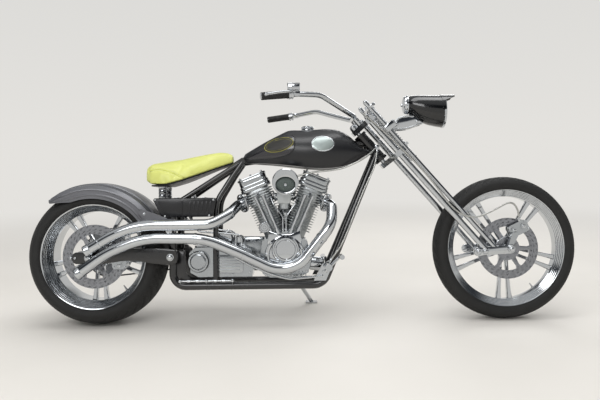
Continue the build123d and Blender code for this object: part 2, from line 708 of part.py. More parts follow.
# Rockers: forged links with three eyes, rear leg, front leg and axle
rocker_in = leg_y - 12
rocker_out = leg_y + 12
rocker_back = (leg_point(rear_leg_ahead, rocker_back_z), rocker_back_z)
rocker_mid = (leg_point(front_leg_ahead, rocker_front_z), rocker_front_z)
rocker_axle = (front_axle_x, front_axle_z)


def link(a, b, radius_a, radius_b, y_low, y_high):
    """A forged link between two eyes, its flanks tangent to both."""
    run = math.atan2(b[1] - a[1], b[0] - a[0])
    tilt = math.acos((radius_a - radius_b) / math.hypot(b[0] - a[0], b[1] - a[1]))
    corners = []
    for centre, radius in ((a, radius_a), (b, radius_b)):
        for side in (1, -1):
            angle = run + side * tilt
            corners.append((centre[0] + radius * math.cos(angle), centre[1] + radius * math.sin(angle)))
    outline = [corners[0], corners[2], corners[3], corners[1]]
    body = side_plate(outline, y_low, y_high)
    body += cross_bar(a[0], a[1], radius_a, y_low, y_high)
    body += cross_bar(b[0], b[1], radius_b, y_low, y_high)
    return body


rocker = link(rocker_back, rocker_mid, 22, 20, rocker_in, rocker_out)
rocker += link(rocker_mid, rocker_axle, 20, 24, rocker_in, rocker_out)

rear_legs = [in_fork(shape) for shape in both_sides(rear_leg)]
node("fork_rear_legs", rear_legs[0] - rocker, rear_legs[1] - other_side(rocker))
front_leg_high_z = 150
front_leg = Pos(front_leg_ahead, leg_y, (front_leg_low_z + front_leg_high_z) / 2) * Cylinder(
    front_leg_r, front_leg_high_z - front_leg_low_z)
front_leg = in_fork(front_leg) - rocker
bridge_z = 118
bridge = Pos(front_leg_ahead + 14, 0, bridge_z) * Box(40, 2 * leg_y + 36, 16)
node("fork_front_legs", front_leg, other_side(front_leg))
spring_bridge = in_fork(bridge) - front_leg - other_side(front_leg)

# Fork springs: a pair on top of the lower clamp's perch up to the bridge, and a short rebound pair hung under it
perch_low = lower_clamp_z
perch_high = lower_clamp_z + 14
fork_spring_high = bridge_z - 8
rebound_length = 76
main_coil = Pos(0, 0, perch_high) * ringed_post(12, 19, fork_spring_high - perch_high, 16)
rebound_coil = Pos(0, 0, perch_low - rebound_length) * ringed_post(9, 15, rebound_length, 6)
rebound_coil += Pos(0, 0, perch_low - rebound_length - 6) * Cylinder(11, 12)
spring_ahead = front_leg_ahead + 14
main_springs = spring_bridge
rebound_springs = []
for spring_y in (-40, 40):
    main_springs += in_fork(Pos(spring_ahead, spring_y, 0) * main_coil)
    rebound_springs.append(in_fork(Pos(spring_ahead, spring_y, 0) * rebound_coil))
node("fork_springs", main_springs, *rebound_springs)
clamps += Pos(front_leg_ahead + 5, 0, (perch_low + perch_high) / 2) * Box(66, 118, perch_high - perch_low)
node("triple_clamps", in_fork(clamps))

front_axle = cross_bar(*rocker_axle, front_axle_r, -rocker_out - 14, rocker_out + 14)
front_axle += cross_bar(*rocker_axle, 17, -rocker_out - 12, -rocker_out)
front_axle += cross_bar(*rocker_axle, 17, rocker_out, rocker_out + 12)
front_axle += cross_bar(*rocker_axle, 15, -rocker_in, -front_hub_right - disc_thick - 2)
front_axle += cross_bar(*rocker_axle, 15, front_hub_left + 2, rocker_in)
node("fork_rockers", front_axle + rocker + other_side(rocker))

# Handlebar: pulled back from two risers on the upper clamp
riser_top = 128
riser_foot = upper_clamp_z + clamp_thick / 2
risers = []
for riser_y in (-46, 46):
    risers.append(in_fork(Pos(30, riser_y, (riser_foot + riser_top) / 2) * Cylinder(14, riser_top - riser_foot)))
bar_r = 12.7
bar_centre = fork_plane.location * Pos(30, 0, riser_top + bar_r - 4)
bar_x = bar_centre.position.X
bar_z = bar_centre.position.Z
bar_half_points = [
    (bar_x, 0, bar_z), (bar_x, 74, bar_z), (bar_x - 70, 150, bar_z + 30), (96, 262, 1122), (-20, 352, 1112),
    (-176, 388, 1096),
]
bar_points = [(x, -y, z) for x, y, z in reversed(bar_half_points[1:])] + bar_half_points[1:]
bar_bends = [60, 160, 60, 40, 40, 60, 160, 60]
handlebar = round_bar(bar_points, bar_r, bar_bends)
for riser in risers:
    handlebar += riser
node("handlebar", handlebar)
bar_bend = Vector(-20, 352, 1112)
bar_end = Vector(-176, 388, 1096)
bar_along = (bar_end - bar_bend).normalized()
grip_start = bar_bend + bar_along * 38
grip_end = bar_end + bar_along * 4
bar_core = round_bar([bar_bend, bar_end], bar_r)
grip = round_bar([grip_start, grip_end], 18) - bar_core
node("grips", *both_sides(grip))

# Levers with their clamps; the brake reservoir sits on the right
lever_clamp = round_bar([grip_start - bar_along * 24, grip_start], 20)
lever = round_bar([grip_start + Vector(20, 24, 6), grip_start + Vector(6, 58, 4), grip_end + Vector(20, 52, 0)],
                  6, [30])
lever += round_bar([grip_start + Vector(10, 0, 4), grip_start + Vector(20, 24, 6)], 9)
bar_hole = round_bar([bar_bend, bar_end], bar_r + 0.3)
levers_left = lever_clamp + lever - bar_hole - grip
reservoir = Pos(grip_start.X + 26, grip_start.Y, grip_start.Z + 34) * Box(58, 40, 30)
reservoir += Pos(grip_start.X + 20, grip_start.Y, grip_start.Z + 18) * Box(30, 26, 12)
levers_right = other_side(levers_left + reservoir - bar_hole)
node("levers", levers_left, levers_right)

# Headlamp: a bucket that deepens to the front, with a visor, on a bracket from the upper clamp
# columns: x, centre z, radius
lamp_rows = [
    (560, 1111, 40),
    (576, 1107, 52),
    (608, 1096, 66),
    (668, 1084, 77),
    (744, 1076, 84),
]
lamp_sections = []
for lamp_x, lamp_z, lamp_r in lamp_rows:
    lamp_sections.append(Pos(lamp_x, 0, lamp_z) * (Plane.YZ * Circle(lamp_r)))
lamp_shell = loft(lamp_sections, ruled=True)
lamp_front = Pos(lamp_rows[-1][0], 0, lamp_rows[-1][1]) * Rot(0, 90, 0)
lens_r = 78
lens_back = -28
lens_thick = 14
lamp_shell -= lamp_front * Pos(0, 0, (lens_back + 2) / 2) * Cylinder(lens_r, 2 - lens_back)
visor = lamp_front * (Pos(0, 0, -4) * Cylinder(86, 60) - Pos(0, 0, -4) * Cylinder(81, 70))
visor -= Pos(740, 0, 1006) * Box(100, 200, 180)
lamp_shell += visor
node("headlamp_shell", lamp_shell)
node("headlamp_lens", lamp_front * Pos(0, 0, lens_back + lens_thick / 2) * Cylinder(lens_r, lens_thick))

# Bracket: a cross plate clamped to the front legs, two webs under the lamp and a flange between their feet
web_outline = [(474, 1012), (512, 1046), (590, 1052), (642, 1012), (560, 984), (480, 980)]
web_in = 26
web_out = 33
lamp_bracket = side_plate(web_outline, web_in, web_out) + side_plate(web_outline, -web_out, -web_in)
flange_outline = [(480, 980), (560, 984), (642, 1012), (640, 1018), (558, 991), (479, 987)]
lamp_bracket += side_plate(flange_outline, -web_in, web_in)
cross_plate_ahead = spring_ahead + 27
cross_plate_z = -20
lamp_bracket += in_fork(Pos(cross_plate_ahead, 0, cross_plate_z) * Box(8, 2 * leg_y + 30, 34))
for collar_y in (-leg_y, leg_y):
    collar_length = cross_plate_ahead + 4 - front_leg_ahead + 18
    collar_centre = cross_plate_ahead + 4 - collar_length / 2
    collar = Pos(collar_centre, collar_y, cross_plate_z) * Box(collar_length, 30, 34)
    lamp_bracket += in_fork(collar - Pos(front_leg_ahead, collar_y, cross_plate_z) * Cylinder(front_leg_r, 60))
lamp_ring = turned_along_x([(534, 0), (534, 26), (540, 44), (560, 48), (560, 0)], lamp_rows[0][1])
node("headlamp_bracket", lamp_bracket - lamp_shell, lamp_ring - lamp_shell)

# Front caliper on the right, on a bracket from the rocker
front_caliper_centre = (1098, 468)
caliper_in = front_disc_y + disc_thick + caliper_gap
caliper_out = front_disc_y - caliper_gap
caliper_face_y = caliper_out - 24
caliper_body = rounded_block(100, 62, 18, caliper_face_y, caliper_in + 12)
for piston_x in (-26, 26):
    caliper_body += cross_bar(piston_x, 0, 17, caliper_face_y - 4, caliper_face_y)
front_caliper = Pos(front_caliper_centre[0], 0, front_caliper_centre[1]) * Rot(0, -25, 0) * caliper_body
front_caliper -= cross_bar(*rocker_axle, 161, caliper_out, caliper_in)
front_caliper -= Pos(front_axle_x, 0, front_axle_z) * Rot(90, 0, 0) * Cylinder(60, 400)
caliper_arm = side_plate([(1036, 384), (1064, 386), (1096, 450), (1060, 450)], -rocker_out, -rocker_in)
front_caliper += caliper_arm
node("front_caliper", front_caliper - other_side(rocker))

# Brake hose from the reservoir down the right legs to the caliper
hose = round_bar(
    [(300, -150, 1060), (420, -142, 960), (640, -140, 735), (760, -140, 560), (860, -140, 520), (960, -136, 560),
     (1050, -128, 610), (1096, -112, 560), (1098, -106, 505)],
    4.5, [200, 500, 160, 160, 160, 70, 60])
node("brake_hose", hose)

# Two braided lines from a clip on the neck: one under the tank to the carburettor, one down the right downtube
clip_low = Vector(393, -46, 889)
line_r = 4.5
throttle_points = [
    (394, -50, 894), (352, -84, 852), (308, -106, 822), (262, -110, 800), (196, -98, 774), (60, -86, 764),
    (-30, -86, 742), (-74, -80, 712), (-78, -78, 675),
]
downtube_line_points = [
    (394, -48, 884), (385, -62, 801), (340, -76, 714), (304, -90, 640), (206, -116, 400), (162, -132, 348),
    (138, -131, 312),
]
lines = round_bar(throttle_points, line_r, easy_bends(throttle_points))
lines += round_bar(downtube_line_points, line_r, easy_bends(downtube_line_points))
lines += round_bar([(steer_x + 35, -20, steer_z - 32), clip_low], 8)
lines += Pos(394, -50, 889) * Box(22, 16, 24)
node("cables", lines - backbone - carburettor - right_control)

# Side stand: a leg from a boss under the left rail, out and forward to a foot on the floor
stand_pivot = Vector(-20, 152, 186)
floor_rise = math.tan(lean)
foot_y = 350
foot_x = 60
foot_z = foot_y * floor_rise
foot_centre = Vector(foot_x, foot_y, foot_z)
folded_direction = Vector(-1, 0.1, 0.0).normalized()
deployed_direction = (foot_centre - stand_pivot).normalized()
stand_axis = deployed_direction.cross(folded_direction).normalized()
stand_leg_end = foot_centre + Vector(0, 0, 9)
stand = round_bar([stand_pivot, stand_leg_end], 11)
stand += Plane(origin=stand_pivot, z_dir=stand_axis).location * Cylinder(18, 20)
foot = Pos(foot_x, foot_y, foot_z) * Rot(lean_deg, 0, 0) * Pos(0, 0, 4) * Box(64, 40, 8)
stand += foot
below_floor = Pos(foot_x, foot_y, foot_z) * Rot(lean_deg, 0, 0) * Pos(0, 0, -30) * Box(300, 300, 60)
stand -= below_floor
node("side_stand", stand)

# Put every piece in the leaning frame, centred over the floor, and write it
leaning = Rot(-lean_deg, 0, 0)
everything = Compound(children=[leaning * solid for solids in nodes.values() for solid in solids])
box = everything.bounding_box()
shift = Pos(-round((box.min.X + box.max.X) / 2, 1), -round((box.min.Y + box.max.Y) / 2, 1), 0)
placement = shift * leaning
for name, solids in nodes.items():
    placed = [placement * solid for solid in solids]
    export_step(placed[0] if len(placed) == 1 else Compound(children=placed), f"parts/{name}.step")
print("shift", shift.position, "floor gap", round(box.min.Z, 3))
print("size", round(box.size.X), round(box.size.Y), round(box.size.Z))
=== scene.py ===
import json
import math

import bmesh
import bpy
from bpy.props import FloatProperty, FloatVectorProperty, IntProperty, PointerProperty
from mathutils import Matrix, Vector
from mathutils.bvhtree import BVHTree
from mathutils.kdtree import KDTree


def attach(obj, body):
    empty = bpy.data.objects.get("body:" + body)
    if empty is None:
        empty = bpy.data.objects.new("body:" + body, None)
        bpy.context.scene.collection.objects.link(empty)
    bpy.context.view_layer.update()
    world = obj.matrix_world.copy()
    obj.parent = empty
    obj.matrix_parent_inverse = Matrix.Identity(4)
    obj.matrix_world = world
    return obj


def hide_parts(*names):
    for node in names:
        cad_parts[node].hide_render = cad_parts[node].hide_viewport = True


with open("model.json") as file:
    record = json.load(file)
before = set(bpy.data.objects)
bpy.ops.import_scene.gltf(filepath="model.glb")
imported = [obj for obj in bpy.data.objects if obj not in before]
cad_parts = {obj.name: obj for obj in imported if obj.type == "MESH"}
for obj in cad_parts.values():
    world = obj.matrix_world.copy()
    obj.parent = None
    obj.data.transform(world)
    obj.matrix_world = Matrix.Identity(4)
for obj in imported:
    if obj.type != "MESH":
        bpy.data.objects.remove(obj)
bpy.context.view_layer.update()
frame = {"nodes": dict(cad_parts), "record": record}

bl_info = {
    "name": "Chopper Motorcycle",
    "version": (1, 0, 0),
    "blender": (4, 5, 0),
    "location": "3D View > Sidebar > Chopper",
    "description": "Dresses the chopper's frame with its wheels, engine, tank, seat and finishes",
    "category": "Object",
}

# The bike's own upright frame, in millimetres, laid over on its side stand as the model is
LEAN = math.radians(5.5)
UPRIGHT = Matrix.Translation((-0.0155, -0.105, 0)) @ Matrix.Rotation(-LEAN, 4, "X") @ Matrix.Scale(0.001, 4)
RAKE = math.radians(41.2)
FORK = Matrix((
    (math.cos(RAKE), 0, -math.sin(RAKE), 343),
    (0, 1, 0, 0),
    (math.sin(RAKE), 0, math.cos(RAKE), 921),
    (0, 0, 0, 1),
))
# Turns a body's own Z axis to the rider's left, as a wheel or a cover lies
LEFT = Matrix.Rotation(-math.pi / 2, 4, "X")
# Places on the upright bike: the axles, the crank and the middle of the air cleaner
REAR_AXLE = (-1035.0, 0.0, 351.064)
FRONT_AXLE = (1050.0, 0.0, 366.439)
CRANK = (-84.0, 0.0, 337.0)
AIR = (-76.0, 0.0, 714.0)


def linear(code):
    """An sRGB hex colour as linear RGBA."""
    channels = [int(code[i:i + 2], 16) / 255 for i in (1, 3, 5)]
    return tuple(c / 12.92 if c <= 0.04045 else ((c + 0.055) / 1.055) ** 2.4 for c in channels) + (1.0,)


# Shapes in millimetres, as lists of points and faces


def wound(points, steps, count, ring=True):
    """Points that repeat a row of count points round an axis, with the faces between the steps."""
    faces = []
    for step in range(steps):
        here = step * count
        there = (step + 1) % steps * count
        for k in range(count if ring else count - 1):
            after = (k + 1) % count
            faces.append((here + k, there + k, there + after, here + after))
    return points, faces


def turned(rows, steps=72, ring=False):
    """A turned body round its own Z axis, from rows of radius and height. A ring closes on itself."""
    points = []
    for step in range(steps):
        angle = 2 * math.pi * step / steps
        points += [(r * math.cos(angle), r * math.sin(angle), h) for r, h in rows]
    return wound(points, steps, len(rows), ring)


def skin(rings, ring=False):
    """A closed skin over rings of equally many points, capped at both ends or joined from last to first."""
    steps = len(rings[0])
    count = len(rings)
    points = [p for each in rings for p in each]
    faces = [] if ring else [tuple(range(steps)), tuple((count - 1) * steps + k for k in range(steps))]
    for level in range(count if ring else count - 1):
        here = level * steps
        there = (level + 1) % count * steps
        for k in range(steps):
            after = (k + 1) % steps
            faces.append((here + k, here + after, there + after, there + k))
    return points, faces


def barrel(radius, low, high, edge=1.0, steps=48):
    """A round bar with softened ends."""
    rows = [(0, low), (radius - edge, low), (radius, low + edge), (radius, high - edge),
            (radius - edge, high), (0, high)]
    return turned(rows, steps)


def hoop(outer, inner, low, high, edge=1.0, steps=72):
    """A flat ring with softened edges."""
    rows = [(outer - edge, low), (outer, low + edge), (outer, high - edge), (outer - edge, high),
            (inner + edge, high), (inner, high - edge), (inner, low + edge), (inner + edge, low)]
    return turned(rows, steps, ring=True)


def bent(points, bends):
    """The line of a bent bar: straight runs with an arc of a set radius at each corner."""
    points = [Vector(p) for p in points]
    line = [points[0]]
    for before, corner, after, radius in zip(points, points[1:], points[2:], bends):
        into = (corner - before).normalized()
        out = (after - corner).normalized()
        turn = into.angle(out)
        reach = radius * math.tan(turn / 2)
        centre = corner + (out - into).normalized() * radius / math.cos(turn / 2)
        spoke = corner - into * reach - centre
        axis = into.cross(out).normalized()
        steps = max(2, int(math.degrees(turn) / 6))
        for k in range(steps + 1):
            line.append(centre + Matrix.Rotation(turn * k / steps, 3, axis) @ spoke)
    line.append(points[-1])
    return line


def smooth_line(points, steps=24):
    """A smooth line along the runs of a hose, read from a spline that has them as its control points."""
    curve = bpy.data.curves.new("line", "CURVE")
    curve.dimensions = "3D"
    spline = curve.splines.new("NURBS")
    spline.points.add(len(points) - 1)
    for control, point in zip(spline.points, points):
        control.co = (*point, 1)
    spline.order_u = 3
    spline.use_endpoint_u = True
    spline.resolution_u = steps
    holder = bpy.data.objects.new("line", curve)
    mesh = bpy.data.meshes.new_from_object(holder)
    line = [v.co.copy() for v in mesh.vertices]
    bpy.data.objects.remove(holder)
    bpy.data.curves.remove(curve)
    bpy.data.meshes.remove(mesh)
    return line


def bar(line, radius, sides=14):
    """A round bar along a line of close points, with a flat end at each end."""
    line = [Vector(p) for p in line]
    forward = [(b - a).normalized() for a, b in zip(line, line[1:])]
    forward.append(forward[-1])
    across = forward[0].orthogonal().normalized()
    rings = []
    for spot, before, ahead in zip(line, [forward[0]] + forward, forward):
        middle = (before + ahead).normalized()
        across = (across - middle * across.dot(middle)).normalized()
        up = middle.cross(across)
        stretch = 1 / max(0.5, middle.dot(ahead))
        rings.append([spot + (across * a + up * b) * radius * stretch for a, b in ellipse(1, 1, sides)])
    return skin(rings)


def softened(points, faces, width, segments=2, sharp_deg=30):
    """The same shape with its sharp edges rounded off."""
    mesh = bmesh.new()
    verts = [mesh.verts.new(p) for p in points]
    for face in faces:
        mesh.faces.new([verts[k] for k in face])
    bmesh.ops.recalc_face_normals(mesh, faces=mesh.faces)
    sharp = [e for e in mesh.edges
             if len(e.link_faces) == 2 and e.calc_face_angle() > math.radians(sharp_deg)]
    bmesh.ops.bevel(mesh, geom=sharp, offset=width, segments=segments, profile=0.5, affect="EDGES",
                    clamp_overlap=True)
    mesh.verts.index_update()
    result = [v.co.copy() for v in mesh.verts], [tuple(v.index for v in f.verts) for f in mesh.faces]
    mesh.free()
    return result


def slab(outline, low, high, edge=1.0):
    """A plate with an outline of (x, y) points, from low to high along its own Z, with softened edges."""
    count = len(outline)
    points = [(x, y, low) for x, y in outline] + [(x, y, high) for x, y in outline]
    faces = [tuple(range(count)), tuple(range(count, 2 * count))]
    faces += [(k, (k + 1) % count, (k + 1) % count + count, k + count) for k in range(count)]
    return softened(points, faces, edge)


def rounded(length, width, corner, steps=8):
    """The outline of a rectangle with round corners."""
    outline = []
    for index, (sx, sy) in enumerate(((1, 1), (-1, 1), (-1, -1), (1, -1))):
        for k in range(steps + 1):
            angle = math.pi / 2 * (index + k / steps)
            outline.append((sx * (length / 2 - corner) + corner * math.cos(angle),
                            sy * (width / 2 - corner) + corner * math.sin(angle)))
    return outline


def oblong(x, y, length, width):
    """The four corners of a rectangle round x, y."""
    a, b = length / 2, width / 2
    return [(x - a, y - b), (x + a, y - b), (x + a, y + b), (x - a, y + b)]


def ellipse(long_half, high_half, steps=40):
    """Points round an ellipse about the origin."""
    return [(long_half * math.cos(2 * math.pi * k / steps), high_half * math.sin(2 * math.pi * k / steps))
            for k in range(steps)]


def link(a, b, radius_a, radius_b, steps=20):
    """The outline of a forged link seen from the side: two round eyes with straight flanks."""
    run = math.atan2(b[1] - a[1], b[0] - a[0])
    tilt = math.acos((radius_a - radius_b) / math.hypot(b[0] - a[0], b[1] - a[1]))
    eyes = ((b, radius_b, run - tilt, run + tilt), (a, radius_a, run + tilt, run + 2 * math.pi - tilt))
    outline = []
    for centre, radius, first, last in eyes:
        for k in range(steps + 1):
            angle = first + (last - first) * k / steps
            outline.append((centre[0] + radius * math.cos(angle), centre[1] + radius * math.sin(angle)))
    return outline


def side_ring(y, x, z, long_half, high_half, steps=64):
    """An oval ring in the bike's side view, at y."""
    return [(x + a, y, z + b) for a, b in ellipse(long_half, high_half, steps)]


def front_ring(x, z, radius, steps=64):
    """A round ring across the bike, at x."""
    return [(x, a, z + b) for a, b in ellipse(radius, radius, steps)]


class Piece:
    """Gathers the shapes of one finished piece, each put in its place, in millimetres."""

    def __init__(self):
        self.mesh = bmesh.new()

    def take(self, shape, *places):
        """Add a shape, moved by the given matrices, the last one first."""
        place = Matrix()
        for matrix in places:
            place = place @ matrix
        points, faces = shape
        verts = [self.mesh.verts.new(place @ Vector(p)) for p in points]
        for face in faces:
            self.mesh.faces.new([verts[k] for k in face])

    def take_mesh(self, mesh, *places):
        """Add a plain mesh, moved by the given matrices, and drop it."""
        points = [v.co.copy() for v in mesh.vertices]
        faces = [tuple(p.vertices) for p in mesh.polygons]
        self.take((points, faces), *places)
        bpy.data.meshes.remove(mesh)

    def done(self, name, body, slot, replaces=(), material=None, place=UPRIGHT, smooth_deg=35):
        """Close the piece, place it, give it its finish and let it ride on its body."""
        bmesh.ops.remove_doubles(self.mesh, verts=self.mesh.verts, dist=0.01)
        bmesh.ops.dissolve_degenerate(self.mesh, edges=self.mesh.edges, dist=0.005)
        bmesh.ops.recalc_face_normals(self.mesh, faces=self.mesh.faces)
        self.mesh.transform(place)
        for face in self.mesh.faces:
            face.smooth = True
        for edge in self.mesh.edges:
            edge.smooth = len(edge.link_faces) == 2 and edge.calc_face_angle(0) < math.radians(smooth_deg)
        data = bpy.data.meshes.new(name)
        self.mesh.to_mesh(data)
        self.mesh.free()
        made = bpy.data.objects.new(name, data)
        bpy.context.scene.collection.objects.link(made)
        data.materials.append(finish(material or slot))
        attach(made, body)
        if replaces:
            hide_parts(*replaces)
        return made


def at(x, y, z):
    return Matrix.Translation((x, y, z))


def spun(degrees, axis):
    return Matrix.Rotation(math.radians(degrees), 4, axis)


def aimed(start, toward):
    """A place at start whose own Z axis points along toward."""
    return at(*start) @ Vector(toward).to_track_quat("Z", "Y").to_matrix().to_4x4()


def on_line(line, far):
    """The place on a line of points at a distance from its start, turned to follow it."""
    for a, b in zip(line, line[1:]):
        step = (b - a).length
        if far <= step:
            return aimed(a + (b - a) * far / step, b - a)
        far -= step
    return aimed(line[-1], line[-1] - line[-2])


def up_cylinder(turn_deg):
    """From cylinder coordinates, up the barrel from the crank, to the bike's."""
    return at(*CRANK) @ spun(turn_deg, "Y")


# Turn a shape's own Z axis to the rider's right, and to the bike's front
RIGHT = LEFT @ spun(180, "X")
FORWARD = spun(90, "Y")


def facing_out(side):
    """Turns a shape's own Z axis to the rider's left (side 1) or right (side -1)."""
    return LEFT if side > 0 else RIGHT


def side_slab(outline, y, thick, edge=1.5):
    """A plate with an outline of (x, z) points in the side view, from y outwards to its own side."""
    side = 1 if y > 0 else -1
    low, high = sorted((y, y + side * thick))
    return moved(slab([(x, -z) for x, z in outline], low, high, edge), LEFT)


def shifted(outline, x, z):
    """The same outline moved by x, z."""
    return [(x + a, z + b) for a, b in outline]


def inset(outline, share):
    """The same outline drawn in towards its middle."""
    cx = sum(x for x, _ in outline) / len(outline)
    cz = sum(z for _, z in outline) / len(outline)
    return [(cx + (x - cx) * share, cz + (z - cz) * share) for x, z in outline]


# Geometry Nodes: what repeats


def add(tree, kind, settings=None, links=None, feeds=None):
    """Add a node, set its values and properties, join its inputs, and feed its result to (node, input)."""
    made = tree.nodes.new(kind)
    for key, value in (settings or {}).items():
        if isinstance(key, str) and hasattr(made, key):
            setattr(made, key, value)
        else:
            made.inputs[key].default_value = value
    for key, source in (links or {}).items():
        tree.links.new(source, made.inputs[key])
    if feeds:
        # A Mix node's colour is its third result
        result = made.outputs[2 if kind == "ShaderNodeMix" else 0]
        tree.links.new(result, feeds[0].inputs[feeds[1]])
    return made


def new_tree(name, inputs):
    """A node group on a mesh, with named inputs from (name, kind, default) and one for its finish."""
    tree = bpy.data.node_groups.new(name, "GeometryNodeTree")
    tree.interface.new_socket("Geometry", in_out="INPUT", socket_type="NodeSocketGeometry")
    for label, kind, default in (*inputs, ("Finish", "NodeSocketMaterial", None)):
        socket = tree.interface.new_socket(label, in_out="INPUT", socket_type=kind)
        if default is not None:
            socket.default_value = default
    tree.interface.new_socket("Geometry", in_out="OUTPUT", socket_type="NodeSocketGeometry")
    return tree, add(tree, "NodeGroupInput").outputs


def close_tree(tree, geometry, material):
    """End a tree: the instances become real faces and take their finish."""
    real = add(tree, "GeometryNodeRealizeInstances", links={"Geometry": geometry})
    painted = add(tree, "GeometryNodeSetMaterial", links={"Geometry": real.outputs[0], "Material": material})
    add(tree, "NodeGroupOutput", links={"Geometry": painted.outputs[0]})
    return tree


def ring_tree():
    """Repeats one item evenly round its Z axis."""
    tree, given = new_tree("repeat_round_an_axle", [
        ("Count", "NodeSocketInt", 5), ("Start", "NodeSocketFloat", 0.0)])
    spots = add(tree, "GeometryNodePoints", links={"Count": given["Count"]})
    index = add(tree, "GeometryNodeInputIndex")
    share = add(tree, "ShaderNodeMath", {"operation": "DIVIDE"}, {0: index.outputs[0], 1: given["Count"]})
    angle = add(tree, "ShaderNodeMath", {"operation": "MULTIPLY_ADD", 1: 2 * math.pi},
                {0: share.outputs[0], 2: given["Start"]})
    turn = add(tree, "ShaderNodeCombineXYZ", links={"Z": angle.outputs[0]})
    copies = add(tree, "GeometryNodeInstanceOnPoints", links={
        "Points": spots.outputs[0], "Instance": given["Geometry"], "Rotation": turn.outputs[0]})
    return close_tree(tree, copies.outputs[0], given["Finish"])


def stack_tree():
    """Repeats one item along a line, such as the fins of a cylinder."""
    tree, given = new_tree("repeat_along_a_line", [
        ("Count", "NodeSocketInt", 5), ("Step", "NodeSocketVector", None)])
    line = add(tree, "GeometryNodeMeshLine", {"mode": "OFFSET"},
               {"Count": given["Count"], "Offset": given["Step"]})
    copies = add(tree, "GeometryNodeInstanceOnPoints", links={
        "Points": line.outputs[0], "Instance": given["Geometry"]})
    return close_tree(tree, copies.outputs[0], given["Finish"])


def coil_tree():
    """Winds a coil spring of round wire up its Z axis."""
    tree, given = new_tree("wind_a_coil", [
        ("Turns", "NodeSocketFloat", 8.0), ("Radius", "NodeSocketFloat", 15.0),
        ("Length", "NodeSocketFloat", 100.0), ("Wire", "NodeSocketFloat", 3.0)])
    line = add(tree, "GeometryNodeCurveSpiral", {"Resolution": 22}, {
        "Rotations": given["Turns"], "Start Radius": given["Radius"], "End Radius": given["Radius"],
        "Height": given["Length"]})
    wire = add(tree, "GeometryNodeCurvePrimitiveCircle", {"Resolution": 10}, {"Radius": given["Wire"]})
    coil = add(tree, "GeometryNodeCurveToMesh", {"Fill Caps": True}, {
        "Curve": line.outputs[0], "Profile Curve": wire.outputs[0]})
    return close_tree(tree, coil.outputs[0], given["Finish"])


def path_tree():
    """Sets short threads at even steps along a line, turned to follow it, as stitches along a seam."""
    tree, given = new_tree("repeat_along_a_seam", [
        ("Spacing", "NodeSocketFloat", 8.0), ("Length", "NodeSocketFloat", 5.0),
        ("Thread", "NodeSocketFloat", 0.7)])
    seam = add(tree, "GeometryNodeMeshToCurve", links={"Mesh": given["Geometry"]})
    spots = add(tree, "GeometryNodeCurveToPoints", {"mode": "LENGTH"}, {
        "Curve": seam.outputs[0], "Length": given["Spacing"]})
    thread = add(tree, "GeometryNodeMeshCylinder", {"Vertices": 8}, {
        "Radius": given["Thread"], "Depth": given["Length"]})
    copies = add(tree, "GeometryNodeInstanceOnPoints", links={
        "Points": spots.outputs["Points"], "Instance": thread.outputs["Mesh"],
        "Rotation": spots.outputs["Rotation"]})
    return close_tree(tree, copies.outputs[0], given["Finish"])


TREES = {}


def applied(made, modifier):
    """A new mesh of an object as its modifier leaves it; the modifier is taken off."""
    bpy.context.view_layer.update()
    evaluated = made.evaluated_get(bpy.context.evaluated_depsgraph_get())
    result = bpy.data.meshes.new_from_object(evaluated)
    made.modifiers.remove(modifier)
    return result


def repeated(maker, shape, material="chrome", **values):
    """Run a shape through one of the trees above and give back a plain mesh."""
    if maker not in TREES:
        TREES[maker] = maker()
    tree = TREES[maker]
    data = bpy.data.meshes.new("item")
    points, faces = shape
    edges = [] if faces else [(k, k + 1) for k in range(len(points) - 1)]
    data.from_pydata([tuple(p) for p in points], edges, faces)
    holder = bpy.data.objects.new("item", data)
    bpy.context.scene.collection.objects.link(holder)
    modifier = holder.modifiers.new("repeat", "NODES")
    modifier.node_group = tree
    values["Finish"] = finish(material)
    for item in tree.interface.items_tree:
        if item.in_out == "INPUT" and item.name in values:
            modifier[item.identifier] = values[item.name]
    result = applied(holder, modifier)
    bpy.data.objects.remove(holder)
    bpy.data.meshes.remove(data)
    return result


def bolt(radius, height):
    """A hexagon bolt head on its washer, standing on its own Z axis."""
    points, faces = turned([(0, 0), (radius * 1.35, 0), (radius * 1.35, height * 0.2), (0, height * 0.2)], 20)
    head = [(radius * math.cos(math.pi * k / 3), radius * math.sin(math.pi * k / 3)) for k in range(6)]
    more, sides = slab(head, height * 0.2, height, height * 0.12)
    shift = len(points)
    return list(points) + list(more), faces + [tuple(k + shift for k in f) for f in sides]


def cap_screw(radius, height):
    """A round socket-head screw with its hollow, standing on its own Z axis."""
    hollow = radius * 0.5
    rows = [(0, 0), (radius, 0), (radius, height * 0.85), (radius * 0.86, height), (hollow, height),
            (hollow, height * 0.45), (0, height * 0.45)]
    return turned(rows, 18)


def acorn(radius, height):
    """A domed nut on its own Z axis."""
    flange = radius * 1.25
    rows = [(0, 0), (flange, 0), (flange, height * 0.12), (radius, height * 0.14), (radius, height * 0.5)]
    for angle in (15, 30, 45, 60, 75):
        a = math.radians(angle)
        rows.append((radius * math.cos(a), height * (0.5 + 0.5 * math.sin(a))))
    return turned(rows + [(0, height)], 24)


def moved(shape, *places):
    """A shape's points moved by the given matrices."""
    place = Matrix()
    for matrix in places:
        place = place @ matrix
    return [place @ Vector(p) for p in shape[0]], shape[1]


def round_axle(item, ring_r, count, start_deg=0.0):
    """Copies of one item round its Z axis, moved out by ring_r, as a plain mesh."""
    return repeated(ring_tree, moved(item, at(ring_r, 0, 0)), Count=count, Start=math.radians(start_deg))


def coil(turns, radius, wire, length):
    """A coil spring up its own Z axis, as a plain mesh."""
    stand_in = [(0, 0, 0), (1, 0, 0)], []
    return repeated(coil_tree, stand_in, Turns=float(turns), Radius=radius, Wire=wire, Length=float(length))


# Finishes


